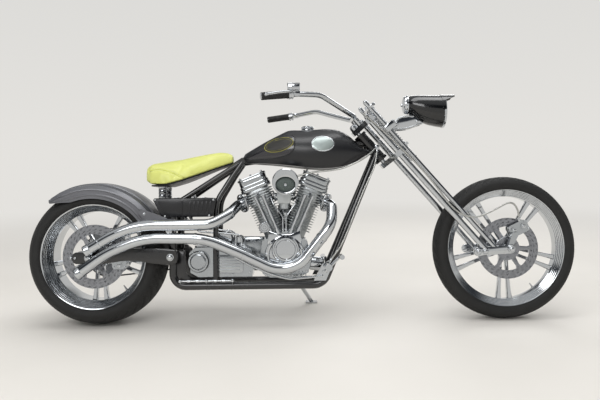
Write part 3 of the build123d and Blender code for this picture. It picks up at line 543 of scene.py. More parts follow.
def base(surface, code, metallic, roughness, **sockets):
    """Set a shader's plain inputs, with its colour as an sRGB code."""
    surface.inputs["Base Color"].default_value = linear(code)
    surface.inputs["Metallic"].default_value = metallic
    surface.inputs["Roughness"].default_value = roughness
    for label, value in sockets.items():
        surface.inputs[label.replace("_", " ")].default_value = value


def uneven_gloss(tree, surface, spot, size_mm, low, high):
    """Roughness that wanders between two values over patches of a set size."""
    patches = add(tree, "ShaderNodeTexNoise", {"Scale": 1000 / size_mm, "Detail": 3.0}, {"Vector": spot})
    add(tree, "ShaderNodeMapRange", {"From Min": 0.35, "From Max": 0.65, "To Min": low, "To Max": high},
        {"Value": patches.outputs[0]}, (surface, "Roughness"))
    return patches


def chrome_plate(tree, surface, spot):
    # Chrome on polished steel: a mirror that faint wiping smears blur here and there
    base(surface, "#c3c6c9", 1.0, 0.06)
    uneven_gloss(tree, surface, spot, 70, 0.035, 0.11)


def black_enamel(tree, surface, spot):
    # Gloss black enamel under clear lacquer: deep black with sharp highlights over a soft base
    base(surface, "#070709", 0.0, 0.3, Coat_Weight=0.7, Coat_Roughness=0.05)
    uneven_gloss(tree, surface, spot, 120, 0.25, 0.38)


def lamp_enamel(tree, surface, spot):
    # The lamp bucket's enamel: the same black, smoother, so that it mirrors the room
    base(surface, "#040507", 0.0, 0.18, Coat_Weight=0.4, Coat_Roughness=0.03)
    uneven_gloss(tree, surface, spot, 90, 0.14, 0.22)


def satin_black(tree, surface, spot):
    # Satin black paint on the tank and covers: a broad soft highlight, slightly bluer where it is lit
    base(surface, "#0c0d10", 0.0, 0.34, Coat_Weight=0.15, Coat_Roughness=0.2)
    patches = uneven_gloss(tree, surface, spot, 160, 0.3, 0.4)
    add(tree, "ShaderNodeMix", {"data_type": "RGBA", 6: linear("#0b0c0f"), 7: linear("#111217")},
        {0: patches.outputs[0]}, (surface, "Base Color"))
    orange_peel = add(tree, "ShaderNodeTexNoise", {"Scale": 250.0, "Detail": 1.0}, {"Vector": spot})
    add(tree, "ShaderNodeBump", {"Strength": 0.04, "Distance": 0.0004}, {"Height": orange_peel.outputs[0]},
        (surface, "Normal"))


def satin_grey(tree, surface, spot):
    # Satin graphite paint on the rear fender: a wide grey sheen along every ridge
    base(surface, "#66676b", 0.45, 0.38, Coat_Weight=0.3, Coat_Roughness=0.25)
    patches = uneven_gloss(tree, surface, spot, 130, 0.33, 0.45)
    add(tree, "ShaderNodeMix", {"data_type": "RGBA", 6: linear("#5f6064"), 7: linear("#6f7075")},
        {0: patches.outputs[0]}, (surface, "Base Color"))


def polished_alloy(tree, surface, spot):
    # Buffed aluminium: bright and soft-edged, with fine buffing lines that stretch its highlights
    base(surface, "#b0b4b7", 1.0, 0.2)
    uneven_gloss(tree, surface, spot, 45, 0.1, 0.24)
    stretched = add(tree, "ShaderNodeMapping", {"Scale": (1, 1, 14)}, {"Vector": spot})
    # Buffing lines are about 0.1 mm apart; drawn at 1.5 mm so that they show
    lines = add(tree, "ShaderNodeTexNoise", {"Scale": 48.0, "Detail": 4.0}, {"Vector": stretched.outputs[0]})
    add(tree, "ShaderNodeBump", {"Strength": 0.06, "Distance": 0.0003}, {"Height": lines.outputs[0]},
        (surface, "Normal"))


def cast_alloy(tree, surface, spot):
    # Sand-cast aluminium: a dull silver with a pebbled skin and darker hollows
    base(surface, "#aeb0b2", 1.0, 0.42)
    # Casting grain is about 0.4 mm; drawn at 2 mm so that it shows
    grain = add(tree, "ShaderNodeTexNoise", {"Scale": 500.0, "Detail": 3.0, "Roughness": 0.6},
                {"Vector": spot})
    add(tree, "ShaderNodeBump", {"Strength": 0.25, "Distance": 0.0005}, {"Height": grain.outputs[0]},
        (surface, "Normal"))
    stain = add(tree, "ShaderNodeTexNoise", {"Scale": 18.0, "Detail": 4.0}, {"Vector": spot})
    add(tree, "ShaderNodeMix", {"data_type": "RGBA", 6: linear("#a1a5a8"), 7: linear("#cbcfd0")},
        {0: stain.outputs[0]}, (surface, "Base Color"))


def ground_steel(tree, surface, spot):
    # Ground stainless steel: brake discs and shafts, with the fine grain that the grinder leaves
    base(surface, "#93959a", 1.0, 0.28)
    # Grinding marks are about 0.05 mm apart; drawn at 2 mm so that they show
    marks = add(tree, "ShaderNodeTexNoise", {"Scale": 420.0, "Detail": 2.0}, {"Vector": spot})
    add(tree, "ShaderNodeBump", {"Strength": 0.1, "Distance": 0.0003}, {"Height": marks.outputs[0]},
        (surface, "Normal"))
    uneven_gloss(tree, surface, spot, 30, 0.22, 0.36)


def black_anodised(tree, surface, spot):
    # Black anodised aluminium: a dense matte black with a faint metallic edge
    base(surface, "#17181a", 0.6, 0.42)
    uneven_gloss(tree, surface, spot, 25, 0.36, 0.5)


def tyre_rubber(tree, surface, spot):
    # Moulded tyre rubber: matte black, dusty in patches, with a fine skin that scatters light
    base(surface, "#1b1b1c", 0.0, 0.72)
    dust = add(tree, "ShaderNodeTexNoise", {"Scale": 16.0, "Detail": 6.0, "Roughness": 0.6}, {"Vector": spot})
    add(tree, "ShaderNodeMix", {"data_type": "RGBA", 6: linear("#0d0d0e"), 7: linear("#1e1e1d")},
        {0: dust.outputs[0]}, (surface, "Base Color"))
    # The moulded skin's grain is about 0.3 mm; drawn at 1.6 mm so that it shows
    grain = add(tree, "ShaderNodeTexNoise", {"Scale": 600.0, "Detail": 2.0}, {"Vector": spot})
    add(tree, "ShaderNodeBump", {"Strength": 0.2, "Distance": 0.0004}, {"Height": grain.outputs[0]},
        (surface, "Normal"))


def grip_rubber(tree, surface, spot):
    # Soft moulded rubber on grips and belt: near black, with no shine but a dull sheen at its edges
    base(surface, "#141415", 0.0, 0.62)
    uneven_gloss(tree, surface, spot, 20, 0.55, 0.72)


def lime_leather(tree, surface, spot):
    # Upholstery leather dyed lime green: a pebble grain about 2 mm across under a semi-gloss dressing
    colour = bpy.context.scene.chopper_colours
    base(surface, "#cdd763", 0.0, 0.42, Coat_Weight=0.25, Coat_Roughness=0.3)
    pebbles = add(tree, "ShaderNodeTexVoronoi", {"feature": "DISTANCE_TO_EDGE", "Scale": 420.0},
                  {"Vector": spot})
    flat_top = add(tree, "ShaderNodeMapRange", {"From Max": 0.25}, {"Value": pebbles.outputs["Distance"]})
    # Soft wrinkles about 30 mm long, as leather takes when it is pulled over foam
    wrinkles = add(tree, "ShaderNodeTexNoise", {"Scale": 34.0, "Detail": 3.0}, {"Vector": spot})
    fold = add(tree, "ShaderNodeBump", {"Strength": 0.25, "Distance": 0.003}, {"Height": wrinkles.outputs[0]})
    add(tree, "ShaderNodeBump", {"Strength": 0.35, "Distance": 0.0004},
        {"Height": flat_top.outputs[0], "Normal": fold.outputs[0]}, (surface, "Normal"))
    # Handling has worn the dye a little paler in patches
    worn = add(tree, "ShaderNodeTexNoise", {"Scale": 9.0, "Detail": 4.0}, {"Vector": spot})
    add(tree, "ShaderNodeMix", {"data_type": "RGBA", 6: (*colour.seat, 1), 7: (*colour.seat_worn, 1)},
        {0: worn.outputs[0]}, (surface, "Base Color"))


def seam_thread(tree, surface, spot):
    # Waxed nylon thread: paler than the leather, with a dull shine
    base(surface, "#e6ebb0", 0.0, 0.5)
    uneven_gloss(tree, surface, spot, 3, 0.42, 0.6)


def steel_braid(tree, surface, spot):
    # Stainless wire braid over a hose: strands cross in small bright diamonds about 2 mm across
    base(surface, "#c9cac8", 1.0, 0.3)
    weave = add(tree, "ShaderNodeTexVoronoi", {"Scale": 620.0}, {"Vector": spot})
    add(tree, "ShaderNodeBump", {"Strength": 0.7, "Distance": 0.0006},
        {"Height": weave.outputs["Distance"]}, (surface, "Normal"))
    add(tree, "ShaderNodeMix", {"data_type": "RGBA", 6: linear("#e2e2de"), 7: linear("#8d8e8c")},
        {0: weave.outputs["Distance"]}, (surface, "Base Color"))


def lamp_glass(tree, surface, spot):
    # Fluted headlamp glass: clear, with upright flutes about 9 mm wide that break up the reflector
    base(surface, "#eef2f4", 0.0, 0.03, IOR=1.5, Transmission_Weight=0.9)
    flutes = add(tree, "ShaderNodeTexWave", {"bands_direction": "Y", "Scale": 35.0}, {"Vector": spot})
    add(tree, "ShaderNodeBump", {"Strength": 0.4, "Distance": 0.002}, {"Height": flutes.outputs[0]},
        (surface, "Normal"))


def filter_mesh(tree, surface, spot):
    # Oiled filter gauze inside the air cleaner: dark, with a fine lattice of wires
    base(surface, "#3a4340", 0.3, 0.6)
    holes = add(tree, "ShaderNodeTexVoronoi", {"Scale": 380.0}, {"Vector": spot})
    add(tree, "ShaderNodeMix", {"data_type": "RGBA", 6: linear("#20282a"), 7: linear("#66706c")},
        {0: holes.outputs["Distance"]}, (surface, "Base Color"))
    add(tree, "ShaderNodeBump", {"Strength": 0.6, "Distance": 0.001}, {"Height": holes.outputs["Distance"]},
        (surface, "Normal"))


def silver_badge(tree, surface, spot):
    # Pale silver plate, cast and buffed: a soft grey-green sheen
    base(surface, "#a4aeac", 0.7, 0.35)
    uneven_gloss(tree, surface, spot, 12, 0.28, 0.45)


def dark_badge(tree, surface, spot):
    # Black enamel in a shallow plate, duller than the tank round it
    base(surface, "#22211d", 0.1, 0.45)
    uneven_gloss(tree, surface, spot, 14, 0.38, 0.52)


def scallop_enamel(tree, surface, spot):
    # A scallop of gloss black enamel with a breath of violet, laid over the satin tank
    base(surface, "#141219", 0.0, 0.22, Coat_Weight=0.8, Coat_Roughness=0.08)
    uneven_gloss(tree, surface, spot, 100, 0.18, 0.3)


def brass_edge(tree, surface, spot):
    # Thin olive-gold line round the dark plate
    base(surface, "#8b8643", 0.6, 0.4)
    uneven_gloss(tree, surface, spot, 10, 0.32, 0.46)


def stand_floor(tree, surface, spot):
    # Pale sealed floor, nearly matte, so that it keeps a soft shadow; far off it runs into the pale wall
    base(surface, "#d9d6d0", 0.0, 0.7)
    patches = add(tree, "ShaderNodeTexNoise", {"Scale": 1.2, "Detail": 4.0}, {"Vector": spot})
    add(tree, "ShaderNodeMix", {"data_type": "RGBA", 6: linear("#d4d1cb"), 7: linear("#dedbd6")},
        {0: patches.outputs[0]}, (surface, "Base Color"))
    reach = add(tree, "ShaderNodeVectorMath", {"operation": "LENGTH"}, {0: spot})
    fade = {"interpolation_type": "SMOOTHSTEP", "From Min": 1.6, "From Max": 7.0}
    far = add(tree, "ShaderNodeMapRange", fade, {"Value": reach.outputs["Value"]})
    wall = add(tree, "ShaderNodeEmission", {"Color": linear("#e4e2de"), "Strength": 1.0})
    ray = add(tree, "ShaderNodeLightPath")
    eye = add(tree, "ShaderNodeMath", {"operation": "MAXIMUM"},
              {0: ray.outputs["Is Camera Ray"], 1: ray.outputs["Is Glossy Ray"]})
    share = add(tree, "ShaderNodeMath", {"operation": "MULTIPLY"},
                {0: far.outputs["Result"], 1: eye.outputs[0]})
    add(tree, "ShaderNodeMixShader", {}, {0: share.outputs[0], 1: surface.outputs[0], 2: wall.outputs[0]},
        (tree.nodes["Material Output"], "Surface"))


# The record's material slots, and the extra finishes of small pieces
FINISHES = {
    "frame_paint": black_enamel, "satin_paint": satin_black, "gloss_paint": lamp_enamel,
    "chrome": chrome_plate, "polished_alloy": polished_alloy, "cast_alloy": cast_alloy,
    "black_alloy": black_anodised, "steel": ground_steel, "seat_leather": lime_leather,
    "belt_rubber": grip_rubber, "grip_rubber": grip_rubber, "hose_braid": steel_braid,
    "lamp_glass": lamp_glass, "tyre": tyre_rubber, "satin_grey": satin_grey, "seam_thread": seam_thread,
    "filter_mesh": filter_mesh, "silver_badge": silver_badge, "dark_badge": dark_badge,
    "brass_edge": brass_edge, "scallop_enamel": scallop_enamel, "stand_floor": stand_floor,
}
MADE = {}


def finish(name):
    """The material of a finish, made once by its function above."""
    maker = FINISHES[name]
    if maker not in MADE:
        material = bpy.data.materials.new(maker.__name__)
        material.use_nodes = True
        tree = material.node_tree
        coords = add(tree, "ShaderNodeTexCoord")
        maker(tree, tree.nodes["Principled BSDF"], coords.outputs["Object"])
        MADE[maker] = material
    return MADE[maker]


# Sizes and colours that a user may change


class ChopperSizes(bpy.types.PropertyGroup):
    fork_coil_turns: IntProperty(
        name="Fork coil turns", description="Turns of each fork spring", default=17, min=4, max=30)
    fork_wire: FloatProperty(
        name="Fork wire", description="Radius of the fork springs' wire", default=0.0032, unit="LENGTH")
    seat_coil_turns: IntProperty(
        name="Seat coil turns", description="Turns of each seat spring", default=6, min=3, max=16)
    fin_count: IntProperty(name="Fins", description="Fins on each cylinder", default=11, min=4, max=20)
    fin_pitch: FloatProperty(name="Fin pitch", description="From one fin to the next", default=0.0135,
                             unit="LENGTH")
    bolt_head: FloatProperty(name="Bolt head", description="Radius of a cover bolt's head", default=0.0055,
                             unit="LENGTH")
    tread_depth: FloatProperty(name="Tread depth", description="Depth of the tyre grooves", default=0.0045,
                               unit="LENGTH")
    stitch_step: FloatProperty(name="Stitch step", description="From one stitch to the next", default=0.008,
                               unit="LENGTH")


class ChopperColours(bpy.types.PropertyGroup):
    seat: FloatVectorProperty(name="Seat", description="Dye of the seat leather", subtype="COLOR",
                              default=linear("#bfc45c")[:3], min=0, max=1)
    seat_worn: FloatVectorProperty(name="Worn seat", description="Where the dye has worn paler",
                                   subtype="COLOR", default=linear("#d2d67e")[:3], min=0, max=1)


class ChopperOperator:
    """What every operator here shares: it can be undone."""
    bl_options = {"REGISTER", "UNDO"}


# The photograph's camera, fitted to the two wheels: metres, millimetres and degrees
CAMERA_PLACE = (-0.052, -3.166, 0.905)
CAMERA_LENS = 36.2
CAMERA_PAN = 0.61
CAMERA_DOWN = 5.2
CAMERA_ROLL = 0.58


def lay_floor(scene):
    """A round pale floor"""
    data = bpy.data.meshes.new("floor")
    points, faces = turned([(0, 0), (4, 0), (12, 0), (40, 0)], 64)
    data.from_pydata(points, [], faces)
    floor = bpy.data.objects.new("floor", data)
    scene.collection.objects.link(floor)
    data.materials.append(finish("stand_floor"))


def hang_lamps(scene):
    """Three soft lamps: a key, one overhead and one from behind"""
    # columns: name, place, aim, width, height, watts
    lamps = (
        ("key_lamp", (-1.6, -4.2, 3.4), (0.0, 0.0, 0.5), 3.2, 1.6, 90),
        ("top_lamp", (0.3, -0.4, 4.0), (0.0, 0.0, 0.4), 4.2, 1.2, 60),
        ("back_lamp", (1.8, 3.8, 2.8), (0.0, 0.0, 0.6), 3.0, 1.0, 40),
    )
    for name, place, aim, width, height, watts in lamps:
        light = bpy.data.lights.new(name, "AREA")
        light.shape = "RECTANGLE"
        light.size = width
        light.size_y = height
        light.energy = watts
        lamp = bpy.data.objects.new(name, light)
        lamp.location = place
        lamp.rotation_euler = (Vector(aim) - Vector(place)).to_track_quat("-Z", "Y").to_euler()
        scene.collection.objects.link(lamp)


def paint_room(scene):
    """A pale room that the camera and the chrome see, and a plain light for the rest"""
    world = bpy.data.worlds.new("room")
    world.use_nodes = True
    tree = world.node_tree
    tree.nodes.clear()
    direction = add(tree, "ShaderNodeTexCoord")
    height = add(tree, "ShaderNodeSeparateXYZ", links={0: direction.outputs["Generated"]})
    # A pale wall and ceiling with a dark band between them, so that chrome has something to show
    wall = add(tree, "ShaderNodeValToRGB", links={0: height.outputs["Z"]})
    stops = wall.color_ramp.elements
    stops[0].position = 0.0
    stops[0].color = linear("#e4e2de")
    stops[1].position = 0.9
    stops[1].color = linear("#cfd0d0")
    for position, code in ((0.25, "#dcdbd8"), (0.33, "#3c3f44"), (0.56, "#2f3237"), (0.7, "#c4c5c6")):
        stops.new(position).color = linear(code)
    seen = add(tree, "ShaderNodeBackground", {"Strength": 1.0}, {"Color": wall.outputs[0]})
    light = add(tree, "ShaderNodeBackground", {"Color": linear("#f4f3f1"), "Strength": 0.85})
    ray = add(tree, "ShaderNodeLightPath")
    eye = add(tree, "ShaderNodeMath", {"operation": "MAXIMUM"},
              {0: ray.outputs["Is Camera Ray"], 1: ray.outputs["Is Glossy Ray"]})
    clear = add(tree, "ShaderNodeMath", {"operation": "MAXIMUM"},
                {0: eye.outputs[0], 1: ray.outputs["Is Transmission Ray"]})
    parts = {0: clear.outputs[0], 1: light.outputs[0], 2: seen.outputs[0]}
    mixed = add(tree, "ShaderNodeMixShader", links=parts)
    add(tree, "ShaderNodeOutputWorld", links={"Surface": mixed.outputs[0]})
    scene.world = world


def set_camera(scene):
    """The photograph's camera"""
    lens = bpy.data.cameras.new("camera")
    lens.lens = CAMERA_LENS
    camera = bpy.data.objects.new("camera", lens)
    camera.location = CAMERA_PLACE
    view = spun(-CAMERA_PAN, "Z") @ spun(90 - CAMERA_DOWN, "X") @ spun(-CAMERA_ROLL, "Z")
    camera.rotation_euler = view.to_euler()
    scene.collection.objects.link(camera)
    scene.camera = camera


class CHOPPER_OT_stage(ChopperOperator, bpy.types.Operator):
    """Lay the floor, hang the lamps and set the camera at the photograph's viewing angle"""
    bl_idname = "chopper.stage"
    bl_label = "Stage"

    def execute(self, context):
        scene = context.scene
        scene.view_settings.view_transform = "Standard"
        lay_floor(scene)
        hang_lamps(scene)
        paint_room(scene)
        set_camera(scene)
        return {"FINISHED"}


# Hoses


# Control points of each line's run, in the bike's own millimetres
BRAKE_RUN = ((300, -150, 1060), (420, -142, 960), (640, -140, 735), (760, -140, 560), (860, -140, 520),
             (960, -136, 560), (1050, -128, 610), (1096, -112, 560), (1098, -106, 505))
THROTTLE_RUN = ((394, -50, 894), (352, -84, 852), (308, -106, 822), (262, -110, 800), (196, -98, 774),
                (60, -86, 764), (-30, -86, 742), (-74, -80, 712), (-78, -78, 675))
DOWNTUBE_RUN = ((394, -48, 884), (385, -62, 801), (340, -76, 714), (304, -90, 640), (206, -116, 400),
                (162, -132, 348), (138, -131, 312))
# A braided line's radius
HOSE_R = 4.5


class CHOPPER_OT_hoses(ChopperOperator, bpy.types.Operator):
    """Run the braided brake hose and the two braided lines from the neck, with their ferrules and clip"""
    bl_idname = "chopper.hoses"
    bl_label = "Hoses"

    def execute(self, context):
        # columns: name, body, run, CAD node
        runs = (
            ("brake_hose_braid", "fork", BRAKE_RUN, "brake_hose"),
            ("throttle_line_braid", "chassis", THROTTLE_RUN, "cables"),
            ("downtube_line_braid", "chassis", DOWNTUBE_RUN, "cables"),
        )
        sleeve = [(4.6, 0), (6.4, 0), (6.8, 2), (6.8, 7), (6, 8), (6, 18), (5.4, 20), (4.6, 20)]
        ferrules = {"fork": Piece(), "chassis": Piece()}
        for name, body, run, node in runs:
            line = smooth_line(run)
            piece = Piece()
            piece.take(bar(line, HOSE_R, 12))
            hose = piece.done(name, body, "hose_braid", [node])
            for place in (on_line(line, 0), on_line(line[::-1], 0)):
                ferrules[body].take(turned(sleeve, 20, ring=True), place)
        clip = ferrules["chassis"]
        clip.take(slab(rounded(22, 24, 5), -8, 8, 1.5), at(394, -50, 889), spun(90, "X"))
        clip.take(cap_screw(4, 4), at(394, -58, 889), spun(90, "X"))
        clip.take(bar([(378, -20, 889), (393, -46, 889)], 8))
        clip.done("line_ferrules", "chassis", "chrome", ["cables"])
        ferrules["fork"].done("brake_ferrules", "fork", "chrome", ["brake_hose"])
        return {"FINISHED"}


class CHOPPER_OT_finishes(ChopperOperator, bpy.types.Operator):
    """Give every carried-over node of the frame its real finish"""
    bl_idname = "chopper.finishes"
    bl_label = "Finishes"

    def execute(self, context):
        slots = {row["node"]: row["material_slot"] for row in frame["record"]["subparts"]}
        special = {"rear_fender": "satin_grey", "seat_pan": "black_alloy"}
        for name, made in frame["nodes"].items():
            material = finish(special.get(name, slots[name]))
            made.data.materials.clear()
            made.data.materials.append(material)
        return {"FINISHED"}


# Wheels


def tyre_shape(outer, crown, half, bead, bead_half, pitch_count, sweep, depth, steps):
    """A tyre's skin: crown and bulging walls, with swept grooves moulded into the tread."""
    centre = outer - crown
    shoulder = math.asin(half * 0.86 / crown)
    shoulder_r = centre + crown * math.cos(shoulder)
    bulge_r = (bead + shoulder_r) / 2
    tread_columns = 30
    profile = []
    for k in range(tread_columns + 1):
        angle = shoulder * (2 * k / tread_columns - 1)
        profile.append((centre + crown * math.cos(angle), crown * math.sin(angle), crown * angle))
    start = Vector((half * 0.86, shoulder_r))
    middle = Vector((half, bulge_r))
    end = Vector((bead_half, bead))
    wall = []
    wall_steps = 12
    for k in range(1, wall_steps + 1):
        t = k / wall_steps
        spot = start * (1 - t) * (1 - 2 * t) + middle * 4 * t * (1 - t) + end * t * (2 * t - 1)
        # Two fine moulded ribs run round the wall
        rib = 0.9 if k in (3, 9) else 0.0
        wall.append((spot.y, spot.x + rib, None))
    rows = [(r, -y, s) for r, y, s in reversed(wall)] + profile + wall
    inner_half = bead_half - 9
    rows += [(bead, inner_half, None), (bead + 14, inner_half, None), (bead + 14, -inner_half, None),
             (bead, -inner_half, None)]
    points = []
    edge_s = crown * shoulder
    for step in range(steps):
        turn = step / steps
        angle = 2 * math.pi * turn
        for r, y, s in rows:
            cut = 0.0
            if s is not None and abs(s) < edge_s * 0.98:
                across = abs(s) / edge_s
                side = 1 if s > 0 else -1
                phase = (turn * pitch_count + sweep * across ** 1.4 + 0.25 * side) % 1.0
                # Swept grooves, shallower ones between them towards the edge, and one round the middle
                if 0.16 < across < 0.94 and phase < 0.17:
                    cut = depth
                if across > 0.55 and 0.5 < phase < 0.62:
                    cut = depth * 0.7
                if across < 0.07:
                    cut = depth
            points.append(((r - cut) * math.cos(angle), (r - cut) * math.sin(angle), y))
    return wound(points, steps, len(rows))


def stepped_rows(lip, bead, half, deep_r, deep_half, steps):
    """The inside of a billet rim: a rounded lip, then rings that step down into the barrel."""
    rows = [(lip - 1.5, half - 0.6), (lip, half - 2.5), (lip, half - 6), (lip - 3, half - 8.5),
            (bead, half - 10), (bead - 3, half * 0.62), (bead - 18, half * 0.5)]
    outside = [(r, -y) for r, y in reversed(rows)] + rows
    inside = [(lip - 5, half), (lip - 10, half - 1.0)]
    radius = lip - 12
    depth = half - 3
    drop = (radius - deep_r) / steps
    sink = (depth - deep_half) / steps
    for _ in range(steps):
        inside += [(radius, depth), (radius - drop * 0.25, depth - sink * 0.62),
                   (radius - drop * 0.5, depth - sink * 0.74)]
        radius -= drop
        depth -= sink
        inside.append((radius + drop * 0.08, depth + sink * 0.06))
    inside.append((deep_r, deep_half * 0.4))
    return inside[::-1] + outside[::-1] + [(r, -y) for r, y in inside]


# The section of a spoke's leg, in shares of its half width and half thickness
SPOKE_SECTION = ((-1, -0.62), (-0.72, -0.94), (0, -1), (0.72, -0.94), (1, -0.62),
                 (1, 0.62), (0.72, 0.94), (0, 1), (-0.72, 0.94), (-1, 0.62))


def spoke_leg(hub_r, foot_r, near, wide, foot_near, foot_wide, thick):
    """One leg of a spoke, along its own X from hub to rim: waisted in the middle, with a rounded face."""
    stations = 10
    rings = []
    for k in range(stations + 1):
        t = k / stations
        along = hub_r + (foot_r - hub_r) * t
        pinch = 1 - 0.22 * math.sin(math.pi * t)
        low = near + (foot_near - near) * t ** 1.3
        high = wide + (foot_wide - wide) * t ** 1.3
        middle = (low + high) / 2
        width = (high - low) / 2 * pinch
        depth = thick * (1 - 0.18 * math.sin(math.pi * t))
        rings.append([(along, middle + a * width, b * depth) for a, b in SPOKE_SECTION])
    return skin(rings)


def drilled_disc(outer, inner, low, high, sectors, bands, hole_r):
    """A brake disc in tiles, each with a drilled hole through it."""
    points = []
    faces = []
    corners = 12
    band = (outer - inner) / bands
    for sector in range(sectors):
        for row in range(bands):
            # The holes of one band are a little off those of the next
            offset = 0.2 * math.sin(row * 2.1)
            a0 = 2 * math.pi * sector / sectors
            a1 = 2 * math.pi * (sector + 1) / sectors
            r0 = inner + band * row
            r1 = r0 + band
            middle_a = (a0 + a1) / 2 + offset * (a1 - a0)
            middle_r = (r0 + r1) / 2
            tile = ((r0, a0), (r1, a0), (r1, a1), (r0, a1), (r0, a0))
            edge = []
            for (r, a), (next_r, next_a) in zip(tile, tile[1:]):
                edge += [(r + (next_r - r) * t / 3, a + (next_a - a) * t / 3) for t in range(3)]
            cx = middle_r * math.cos(middle_a)
            cy = middle_r * math.sin(middle_a)
            start = math.atan2(edge[0][0] * math.sin(edge[0][1]) - cy, edge[0][0] * math.cos(edge[0][1]) - cx)
            low_edge = len(points)
            low_hole = low_edge + corners
            high_edge = low_hole + corners
            high_hole = high_edge + corners
            turns = [start - 2 * math.pi * k / corners for k in range(corners)]
            for level in (low, high):
                points += [(r * math.cos(a), r * math.sin(a), level) for r, a in edge]
                points += [(cx + hole_r * math.cos(a), cy + hole_r * math.sin(a), level) for a in turns]
            walls = [(low_edge, low_hole, range(corners)), (high_edge, high_hole, range(corners)),
                     (low_hole, high_hole, range(corners))]
            # The disc's inner edge is the tile's fourth side, and its outer edge the second
            if row == 0:
                walls.append((low_edge, high_edge, range(9, 12)))
            if row == bands - 1:
                walls.append((low_edge, high_edge, range(3, 6)))
            for one, other, sides in walls:
                for k in sides:
                    after = (k + 1) % corners
                    faces.append((one + k, one + after, other + after, other + k))
    return points, faces


def tyres_moulded(depth):
    """Both tyres, with grooves of a set depth"""
    # columns: name, axle, outer r, crown r, half, bead r, bead half, pitches, sweep, steps
    tyres = (
        ("front", FRONT_AXLE, 366, 95, 65, 292, 46, 46, 1.5, 644),
        ("rear", REAR_AXLE, 350, 230, 140, 254, 116, 34, 1.9, 612),
    )
    for name, axle, *form, steps in tyres:
        piece = Piece()
        piece.take(tyre_shape(*form, depth, steps), at(*axle), LEFT)
        piece.done(name + "_tyre_moulded", name + "_wheel", "tyre", [name + "_tyre"])


def rims_turned():
    """Both rims with their hubs, spokes, bolts and valve stems, and the rear pulley"""
    # columns: name, axle, lip r, bead r, lip half, deep r, deep half, ring steps, hub r, hub left, hub right,
    # spoke half, axle r
    rims = (
        ("front", FRONT_AXLE, 306, 292, 54, 264, 20, 5, 40, 78, 70, 15, 10.05),
        ("rear", REAR_AXLE, 268, 254, 126, 226, 48, 7, 52, 144, 96, 22, 12.55),
    )
    for name, axle, lip, bead, half, deep, deep_half, steps, hub, left, right, thick, bore in rims:
        wheel = at(*axle) @ LEFT
        piece = Piece()
        piece.take(turned(stepped_rows(lip, bead, half, deep, deep_half, steps), 128, ring=True), wheel)
        hub_rows = [(bore, -right), (hub * 0.62, -right), (hub * 0.7, -right + 4), (hub * 0.7, -right + 16),
                    (hub, -right + 22), (hub, -thick - 6), (hub * 1.15, -thick), (hub * 1.15, thick),
                    (hub, thick + 6), (hub, left - 20), (hub * 0.72, left - 14), (hub * 0.72, left - 2),
                    (hub * 0.66, left), (bore, left)]
        piece.take(turned(hub_rows, 64, ring=True), wheel)
        for side in (-1, 1):
            leg = spoke_leg(hub * 0.8, deep + 4, 4 * side, 24 * side, 17 * side, 43 * side, thick)
            piece.take_mesh(round_axle(leg, 0, 5, 90), wheel)
        for height, turn in ((-thick - 1, spun(180, "X")), (thick + 1, Matrix())):
            piece.take_mesh(round_axle(cap_screw(5, 6), hub * 0.98, 5, 36), wheel, at(0, 0, height), turn)
        if name == "rear":
            pulley = [(98, 148), (126, 146), (126, 148), (122, 149), (122, 167), (126, 168), (126, 170),
                      (100, 170), (98, 154), (60, 154), (58, 150), (60, 146)]
            piece.take(turned(pulley, 96, ring=True), wheel)
            piece.take(turned([(13, 144), (46, 144), (46, 168), (44, 170), (13, 170)], 48, ring=True), wheel)
            tooth = slab([(120.5, -3.2), (125.5, -2.2), (125.5, 2.2), (120.5, 3.2)], 148, 168, 0.6)
            piece.take_mesh(round_axle(tooth, 0, 66), wheel)
        stem = turned([(0, 0), (3, 0), (3, 8), (4, 9), (4, 18), (5.5, 20), (5.5, 30), (0, 30)], 16)
        piece.take(stem, wheel, spun(54, "Z"), at(deep - 30, 0, 0), spun(90, "Y"))
        piece.done(name + "_rim_turned", name + "_wheel", "chrome", [name + "_rim"])


def discs_drilled():
    """Both brake discs on their carriers"""
    # columns: name, axle, outer r, band inner r, carrier r, face y, sectors
    discs = (
        ("front", FRONT_AXLE, 155, 112, 26, -75, 30),
        ("rear", REAR_AXLE, 160, 112, 34, -101, 30),
    )
    for name, axle, outer, inner, core, low, sectors in discs:
        wheel = at(*axle) @ LEFT
        piece = Piece()
        piece.take(drilled_disc(outer, inner, low, low + 5, sectors, 3, 4.2), wheel)
        piece.take(hoop(core + 34, core, low - 1, low + 6), wheel)
        arm = [(core + 24, -13), (inner - 14, -9), (inner + 4, -17), (inner + 8, 0), (inner + 4, 17),
               (inner - 14, 9), (core + 24, 13)]
        piece.take_mesh(round_axle(slab(arm, low + 0.2, low + 4.8, 0.8), 0, 6), wheel)
        piece.take_mesh(round_axle(cap_screw(5.5, 6), core + 20, 6, 30), wheel, at(0, 0, low), spun(180, "X"))
        piece.take_mesh(round_axle(acorn(5, 3.5), inner - 3, 6, 0), wheel, at(0, 0, low), spun(180, "X"))
        piece.done(name + "_disc_drilled", name + "_wheel", "steel", [name + "_disc"])


class CHOPPER_OT_wheels(ChopperOperator, bpy.types.Operator):
    """Build the chrome rims, the drilled discs and the tyres with their tread"""
    bl_idname = "chopper.wheels"
    bl_label = "Wheels"

    def execute(self, context):
        depth = context.scene.chopper_sizes.tread_depth * 1000
        tyres_moulded(depth)
        rims_turned()
        discs_drilled()
        return {"FINISHED"}


# Heights of the headlamp's middle, at its lens and at its back
LAMP_Z = 1076
LAMP_BACK_Z = 1111
# The rockers' eyes in the side view: at the feet of the rear and the front legs, and at the axle
ROCKER_EYES = ((887.7, 354), (921.2, 356), (FRONT_AXLE[0], FRONT_AXLE[2]))


